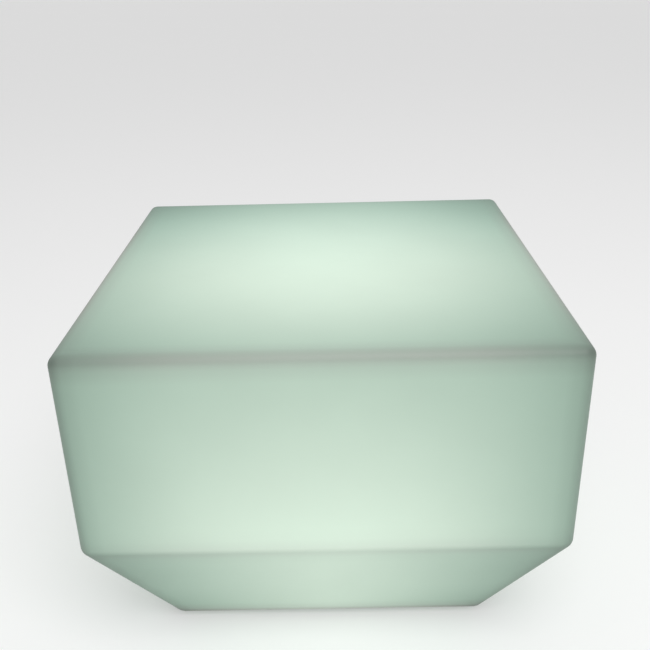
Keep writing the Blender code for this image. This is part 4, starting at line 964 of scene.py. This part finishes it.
def screw(shank, length, head, height):
    """A pan-head screw with its head below and its shank up. It stands on the plane of its seat."""
    made = loose("screw", turned([
        *scaled(HEAD_OUTLINE, head, height), (shank, 0),
        *thread(shank, shank * THREAD_START, length - shank),
        *scaled(POINT_OUTLINE, shank, shank, up=length)], SCREW_STEPS))
    recess = []
    for size in ((RECESS_LENGTH, RECESS_WIDTH), (RECESS_WIDTH, RECESS_LENGTH)):
        arm = block((head * size[0], head * size[1], height), (0, 0, -height * RECESS_START))
        inner = [v for v in arm.verts if v.co.z > -height]
        bmesh.ops.scale(arm, vec=(RECESS_TAPER, RECESS_TAPER, 1), verts=inner)
        recess.append(arm)
    return combine(made, "DIFFERENCE", *recess)


small_nodes = [*numbered("clamp_screw", 2), *numbered("board_screw", 2),
               *numbered("led_board_screw", STANDOFFS)]
small_screw = screw(SMALL_SHANK, SMALL_LENGTH, SMALL_HEAD, SMALL_HEIGHT)
small_screw.data.transform(Matrix.Rotation(math.radians(180), 4, "X"))
place_each(small_screw, "steel", small_nodes, zinc_plate, "plated_steel", SMALL_LENGTH)

# Leads: red PVC-insulated wire, from the battery to its connector and up to the LED board. They
# are the source's own tubes, with the soft gloss and the slight ribbing of extruded insulation.
pvc = mottled("red_pvc_insulation", (0.44, 0.028, 0.020), 0.38, patch=90.0, grain=700.0,
              variation=0.12, relief=0.12)
for lead in ("battery_lead", "led_lead"):
    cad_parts[lead].material_slots[0].material = pvc

# Light engine: a round aluminium board in white solder mask on three posts, with six square LEDs
# soldered in a ring and the dark bead of the remote control's receiver in the middle.
LED_SIDE = 0.0070
LED_HEIGHT = 0.0018
LED_BODY_SHARE = 0.85
LED_CORNER = 0.0008
LENS_RADIUS = 0.0026
PHOSPHOR_WITHIN, PHOSPHOR_ABOVE = 0.99, 0.4
LENS_WELL = ((0, 0.5), (1, 0.5), (1.12, 1), (0, 1))
LENS_OUTLINE = ((0, 0.3), (0.98, 0.3), (0.98, 0.62), (0.8, 0.82), (0.5, 0.96), (0, 1))
LED_PAD_SIZE = (0.0030, 0.0022, 0.00016)
LED_PAD_REACH = 0.0040
PAD_TOP_SHARE = 0.4
LEDS = 6
RECEIVER_RADIUS = 0.0027
RECEIVER_STEPS = 8
led_board_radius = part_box("led_board")[1].x


def quarter(radius, height, base, steps):
    """A quarter of an ellipse over a base, from the axis out to the rim."""
    turns = [math.pi / 2 * i / steps for i in range(steps + 1)]
    return [(radius * math.sin(turn), base + height * math.cos(turn)) for turn in turns]


led_nodes = numbered("led", LEDS)
led_spots = [Matrix.Translation(place) @ Matrix.Rotation(i * math.tau / LEDS, 4, "Z")
             for i, place in enumerate(places_of(led_nodes))]
pads = bmesh.new()
for spot in led_spots:
    for side in (-1, 1):
        pad = Matrix.Translation((0, 0, led_board_top - spot.translation.z)) @ spot
        pad = pad @ Matrix.Translation((0, side * LED_PAD_REACH, 0)) @ Matrix.Diagonal((*LED_PAD_SIZE, 1))
        bmesh.ops.create_cube(pads, size=1, matrix=pad)
light_board = loose("aluminium_led_board", turned([
    (0, led_board_bottom), (led_board_radius, led_board_bottom, FINE_EDGE),
    (led_board_radius, led_board_top, FINE_EDGE), (0, led_board_top)]))
combine(light_board, "DIFFERENCE", bores(PILOT_RADIUS, led_board_bottom, led_board_top, standoffs))
combine(light_board, "UNION", pads)
mark(light_board, "bare_core", lambda point: point.z < (led_board_bottom + led_board_top) / 2
     or point.z > led_board_top + LED_PAD_SIZE[2] * PAD_TOP_SHARE)
white_mask = two_part(mottled("white_solder_mask_gloss", (0.83, 0.84, 0.83), 0.34, patch=45.0,
                              variation=0.03), "bare_core", (0.72, 0.73, 0.74), 0.38, 1.0)
fit(light_board, white_mask, "white_solder_mask", "led_board")
phosphor = two_part(mottled("led_package_white", (0.85, 0.84, 0.78), 0.35, patch=400.0, variation=0.04),
                    "phosphor", (0.92, 0.80, 0.30), 0.25, 0.0, (0.98, 0.93, 0.60))
for node, spot in zip(led_nodes, led_spots):
    led = loose(f"lit_{node}", block((LED_SIDE, LED_SIDE, LED_HEIGHT * LED_BODY_SHARE), (0, 0, 0),
                                     LED_CORNER, FINE_EDGE))
    combine(led, "DIFFERENCE", turned(scaled(LENS_WELL, LENS_RADIUS, LED_HEIGHT), SMALL_STEPS))
    combine(led, "UNION", turned(scaled(LENS_OUTLINE, LENS_RADIUS, LED_HEIGHT), SMALL_STEPS))
    mark(led, "phosphor", lambda point: point.xy.length < LENS_RADIUS * PHOSPHOR_WITHIN
         and point.z > LED_HEIGHT * PHOSPHOR_ABOVE)
    led.data.transform(spot)
    fit(led, phosphor, "led_package", node)
eye_bottom, eye_top = heights("ir_receiver")
bead_height = RECEIVER_RADIUS / 2
receiver = loose("epoxy_ir_receiver", turned([
    *quarter(RECEIVER_RADIUS, bead_height, eye_top - bead_height, RECEIVER_STEPS),
    (RECEIVER_RADIUS, eye_bottom), (0, eye_bottom)], SMALL_STEPS))
dark_epoxy = mottled("dark_receiver_epoxy", (0.035, 0.012, 0.014), 0.12, patch=300.0, variation=0.2,
                     relief=0.03)
fit(receiver, dark_epoxy, "black_component", "ir_receiver")

# Diffuser: an opal polycarbonate dome, blow moulded about 2 mm thick, whose spigot drops inside the
# housing's rim. It spreads the light of the LEDs, so its crown is brightest; that light is a painted glow
# in its emission.
DOME_WALL = 0.002
DOME_SKIRT = 0.005
DOME_STEPS = 20
SPIGOT_RADIUS = 0.07044
DOME_RIM_GLOW = (0.13, 0.18, 0.15, 1)
DOME_CROWN_GLOW = (0.40, 0.50, 0.43, 1)
dome_bottom, dome_top = heights("diffuser_dome")
dome_seat = housing_rim + GAP
skirt_top = dome_seat + DOME_SKIRT
crown_height = dome_top - skirt_top
inner_radius = SPIGOT_RADIUS - DOME_WALL
dome = loose("opal_diffuser_dome", turned([
    *quarter(HOUSING_RADIUS, crown_height, skirt_top, DOME_STEPS), (HOUSING_RADIUS, dome_seat, GAP),
    (SPIGOT_RADIUS, dome_seat), (SPIGOT_RADIUS, dome_bottom, GAP), (inner_radius, dome_bottom),
    *reversed(quarter(inner_radius, crown_height - DOME_WALL, skirt_top, DOME_STEPS)),
]))
opal = mottled("opal_polycarbonate_glow", (0.42, 0.48, 0.45), 0.28, patch=25.0, variation=0.02,
               relief=0.05)
# Painted glow: emission rising from the rim's colour to the crown's, for the LEDs' light spread through
# the dome.
rise = add_node(opal, "SeparateXYZ", {0: add_node(opal, "TexCoord").outputs["Object"]}).outputs["Z"]
crown = add_node(opal, "MapRange", {"Value": rise, "From Min": dome_seat, "From Max": dome_top})
crown_glow_ramp = add_node(opal, "ValToRGB", {"Fac": crown.outputs["Result"]})
crown_glow_ramp.color_ramp.elements[0].color = DOME_RIM_GLOW
crown_glow_ramp.color_ramp.elements[1].color = DOME_CROWN_GLOW
shade(opal, {"Emission Color": crown_glow_ramp.outputs["Color"], "Emission Strength": 1.0})
fit(dome, opal, "opal_polycarbonate", "diffuser_dome")

# Gasket and lamp screws: a flat ring of grey silicone between the flange and the pocket's roof, cut
# from sheet, and six zinc-plated pan-head screws that draw the flange up against it.
LAMP_SHANK = 0.0019
LAMP_SCREW_LENGTH = 0.014
LAMP_HEAD = 0.0040
LAMP_HEAD_HEIGHT = 0.0026
GASKET_INNER = 0.07624
gasket_bottom, gasket_top = heights("lamp_gasket")
gasket = loose("silicone_lamp_gasket", washer(GASKET_INNER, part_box("lamp_gasket")[1].x, gasket_bottom,
                                              gasket_top, (gasket_top - gasket_bottom) / 5))
combine(gasket, "DIFFERENCE", bores(FOOT_HOLE_RADIUS, gasket_bottom, gasket_top, screw_places))
fit(gasket, matt_silicone, "grey_silicone", "lamp_gasket")
place_each(screw(LAMP_SHANK, LAMP_SCREW_LENGTH, LAMP_HEAD, LAMP_HEAD_HEIGHT), "steel",
           numbered("lamp_screw", LAMP_SCREWS), zinc_plate, "plated_steel", LAMP_HEAD_HEIGHT)

# Socket cover: a flap of grey silicone over the charging socket, with a plug that presses into it.
# Its strap is held by a barbed stud through the housing's floor, and it bends down at a thin hinge.
COVER_THICKNESS = 0.0018
COVER_CORNER = 0.003
COVER_SOFTENING = 0.0004
HINGE_SEGMENTS, HINGE_SHARE = 8, 0.999
STRAP_SOFTENING = 0.0003
PLUG_RADIUS = 0.0025
PLUG_HOLE = 0.00165
PLUG_TIP = ((0, -0.0004), (-0.0003, 0))
GRIP_GROOVES = 3
GRIP_INSET = 0.0022
GRIP_PITCH = 0.0009
GRIP_DEPTH = 0.00025
GRIP_SHARE = 0.55
BARB_RADIUS = 0.0023
BARB_HEIGHT = 0.0012
cover_low, cover_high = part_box("port_cover")
cover_half = COVER_THICKNESS / 2
cover_axis = cover_low.z + cover_half
cover_x = middle_of("port_cover")[0]
flap_form = block((*(cover_high - cover_low).xy, COVER_THICKNESS), (cover_x, jack_middle[1], cover_low.z))
soften(flap_form, [e for e in uprights(flap_form) if e.verts[0].co.x < cover_x], COVER_CORNER,
       CORNER_SEGMENTS)
hinge_end = [e for e in flap_form.edges if min(v.co.x for v in e.verts) > cover_x
             and abs(e.verts[0].co.y - e.verts[1].co.y) > GAP]
soften(flap_form, hinge_end, cover_half * HINGE_SHARE, HINGE_SEGMENTS)
rims = [e for e in flap_form.edges if e.calc_face_angle(0) > SHARP_ANGLE
        and min(v.co.x for v in e.verts) < cover_x]
soften(flap_form, rims, COVER_SOFTENING, 3)
flap = loose("silicone_port_cover", flap_form)
combine(flap, "UNION", turned([
    (PLUG_HOLE, cover_axis), (PLUG_RADIUS, cover_axis),
    *scaled(PLUG_TIP, across=PLUG_RADIUS, up=cover_high.z), (PLUG_HOLE, cover_high.z),
], SMALL_STEPS, jack_middle))
combine(flap, "DIFFERENCE", *[
    block((GRIP_PITCH / 2, (cover_high.y - cover_low.y) * GRIP_SHARE, GRIP_DEPTH * 2),
          (cover_low.x + GRIP_INSET + i * GRIP_PITCH, jack_middle[1], cover_low.z - GRIP_DEPTH))
    for i in range(GRIP_GROOVES)])
fit(flap, matt_silicone, "grey_silicone", "port_cover", body="socket_cover")
anchor_low, anchor_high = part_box("port_cover_anchor")
strap = loose("silicone_port_cover_anchor", block((*(anchor_high - anchor_low).xy, COVER_THICKNESS),
                                                  (*stud_middle, anchor_low.z), 0.0, STRAP_SOFTENING))
combine(strap, "UNION", turned([
    (0, cover_axis), (STUD_RADIUS, cover_axis), (STUD_RADIUS, on_floor), (BARB_RADIUS, on_floor),
    (STUD_RADIUS, on_floor + BARB_HEIGHT), (0, on_floor + BARB_HEIGHT)], HOLE_STEPS, stud_middle))
fit(strap, matt_silicone, "grey_silicone", "port_cover_anchor")

# Feet: four black rubber pads near the corners of the base, moulded with rings on the sole that
# keep them from sliding, and the screws that hold them, with their heads in a well.
FOOT_RADIUS = 0.016
FOOT_TOP = 0.0057
FOOT_WELL = 0.0055
FOOT_WELL_DEPTH = 0.0039
FOOT_RINGS = 4
FIRST_RING = 0.0012
RING_PITCH = 0.0021
RING_DEPTH = 0.0005
RING_OUTLINE = ((0, 0), (0.12, 1), (0.38, 1), (0.50, 0))
SOLE_ROUNDING = ((-0.0014, 0), (-0.0006, 0.0003), (-0.0001, 0.0011), (0, 0.0020))
FOOT_SHANK_LENGTH = 0.012
sole = []
for i in range(FOOT_RINGS):
    sole += scaled(RING_OUTLINE, RING_PITCH, RING_DEPTH, FOOT_WELL + FIRST_RING + i * RING_PITCH)
foot = loose("foot", turned([
    (FOOT_HOLE_RADIUS, FOOT_TOP), (FOOT_HOLE_RADIUS, FOOT_WELL_DEPTH), (FOOT_WELL, FOOT_WELL_DEPTH),
    (FOOT_WELL, 0, GAP), *sole, *scaled(SOLE_ROUNDING, across=FOOT_RADIUS),
    (FOOT_RADIUS, FOOT_TOP, FINE_EDGE * 2)], BUTTON_STEPS))
place_each(foot, "rubber", foot_nodes, matt_rubber, "black_rubber")
place_each(screw(LAMP_SHANK, FOOT_SHANK_LENGTH, LAMP_HEAD, LAMP_HEAD_HEIGHT), "steel",
           numbered("foot_screw", len(foot_nodes)), zinc_plate, "plated_steel", LAMP_HEAD_HEIGHT)

# Studio: a plain pale floor that shows only from above, soft light from all round and from the
# front, and the camera where the photograph was taken from, looking down on the stool's top.
FLOOR_SIZE = 60.0
FLOOR_COLOUR = (0.72, 0.72, 0.72, 1)
FLOOR_PALENESS = 0.22
SOFT_LIGHT = 0.62
BACKGROUND = 0.72
WHITE = (1, 1, 1, 1)
KEY_SIZE, KEY_ENERGY = 2.4, 60
KEY_PLACE, KEY_AIM = Vector((0.5, -1.9, 2.9)), Vector((0, 0, 0.2))
LENS = 45.24
CAMERA_PLACE = (0.01334, -0.97637, 0.75784)
CAMERA_TURN = (65.6041, 1.3169, 0.0868)


def watched(owner):
    """1 for rays that end in the picture, straight, mirrored or seen through, and 0 for the others."""
    seen = add_node(owner, "LightPath").outputs
    direct = add_node(owner, "Math", {0: seen["Is Camera Ray"], 1: seen["Is Glossy Ray"]},
                      operation="ADD")
    return add_node(owner, "Math", {0: direct.outputs[0], 1: seen["Is Transmission Ray"]},
                    operation="ADD", use_clamp=True).outputs[0]


floor_form = bmesh.new()
bmesh.ops.create_grid(floor_form, x_segments=8, y_segments=8, size=FLOOR_SIZE / 2)
floor = loose("floor", floor_form)
pale = new_finish("pale_floor", 0.6)[0]
paleness = add_node(pale, "Math", {0: watched(pale), 1: FLOOR_PALENESS}, operation="MULTIPLY")
shade(pale, {"Base Color": FLOOR_COLOUR, "Emission Color": WHITE,
             "Emission Strength": paleness.outputs[0]})
from_below = add_node(pale, "NewGeometry").outputs["Backfacing"]
clear = add_node(pale, "BsdfTransparent")
one_sided = add_node(pale, "MixShader", {0: from_below, 1: shader_of(pale).outputs[0],
                                         2: clear.outputs[0]})
feed(pale, pale.node_tree.nodes["Material Output"], {"Surface": one_sided.outputs[0]})
floor.data.materials.append(pale)

world = bpy.data.worlds.new("soft_studio")
bpy.context.scene.world = world
world.use_nodes = True
strength = add_node(world, "MapRange", {"Value": watched(world), "To Min": SOFT_LIGHT,
                                        "To Max": BACKGROUND})
feed(world, world.node_tree.nodes["Background"], {"Color": WHITE, "Strength": strength.outputs["Result"]})

key = bpy.data.lights.new("key", "AREA")
key.shape = "DISK"
key.size = KEY_SIZE
key.energy = KEY_ENERGY
key_light = in_scene("key", key)
key_light.location = KEY_PLACE
key_light.rotation_euler = (KEY_AIM - KEY_PLACE).to_track_quat("-Z", "Y").to_euler()

camera = in_scene("camera", bpy.data.cameras.new("camera"))
camera.data.lens = LENS
camera.location = CAMERA_PLACE
camera.rotation_euler = [math.radians(turn) for turn in CAMERA_TURN]
bpy.context.scene.camera = camera
bpy.context.scene.view_settings.view_transform = "Standard"
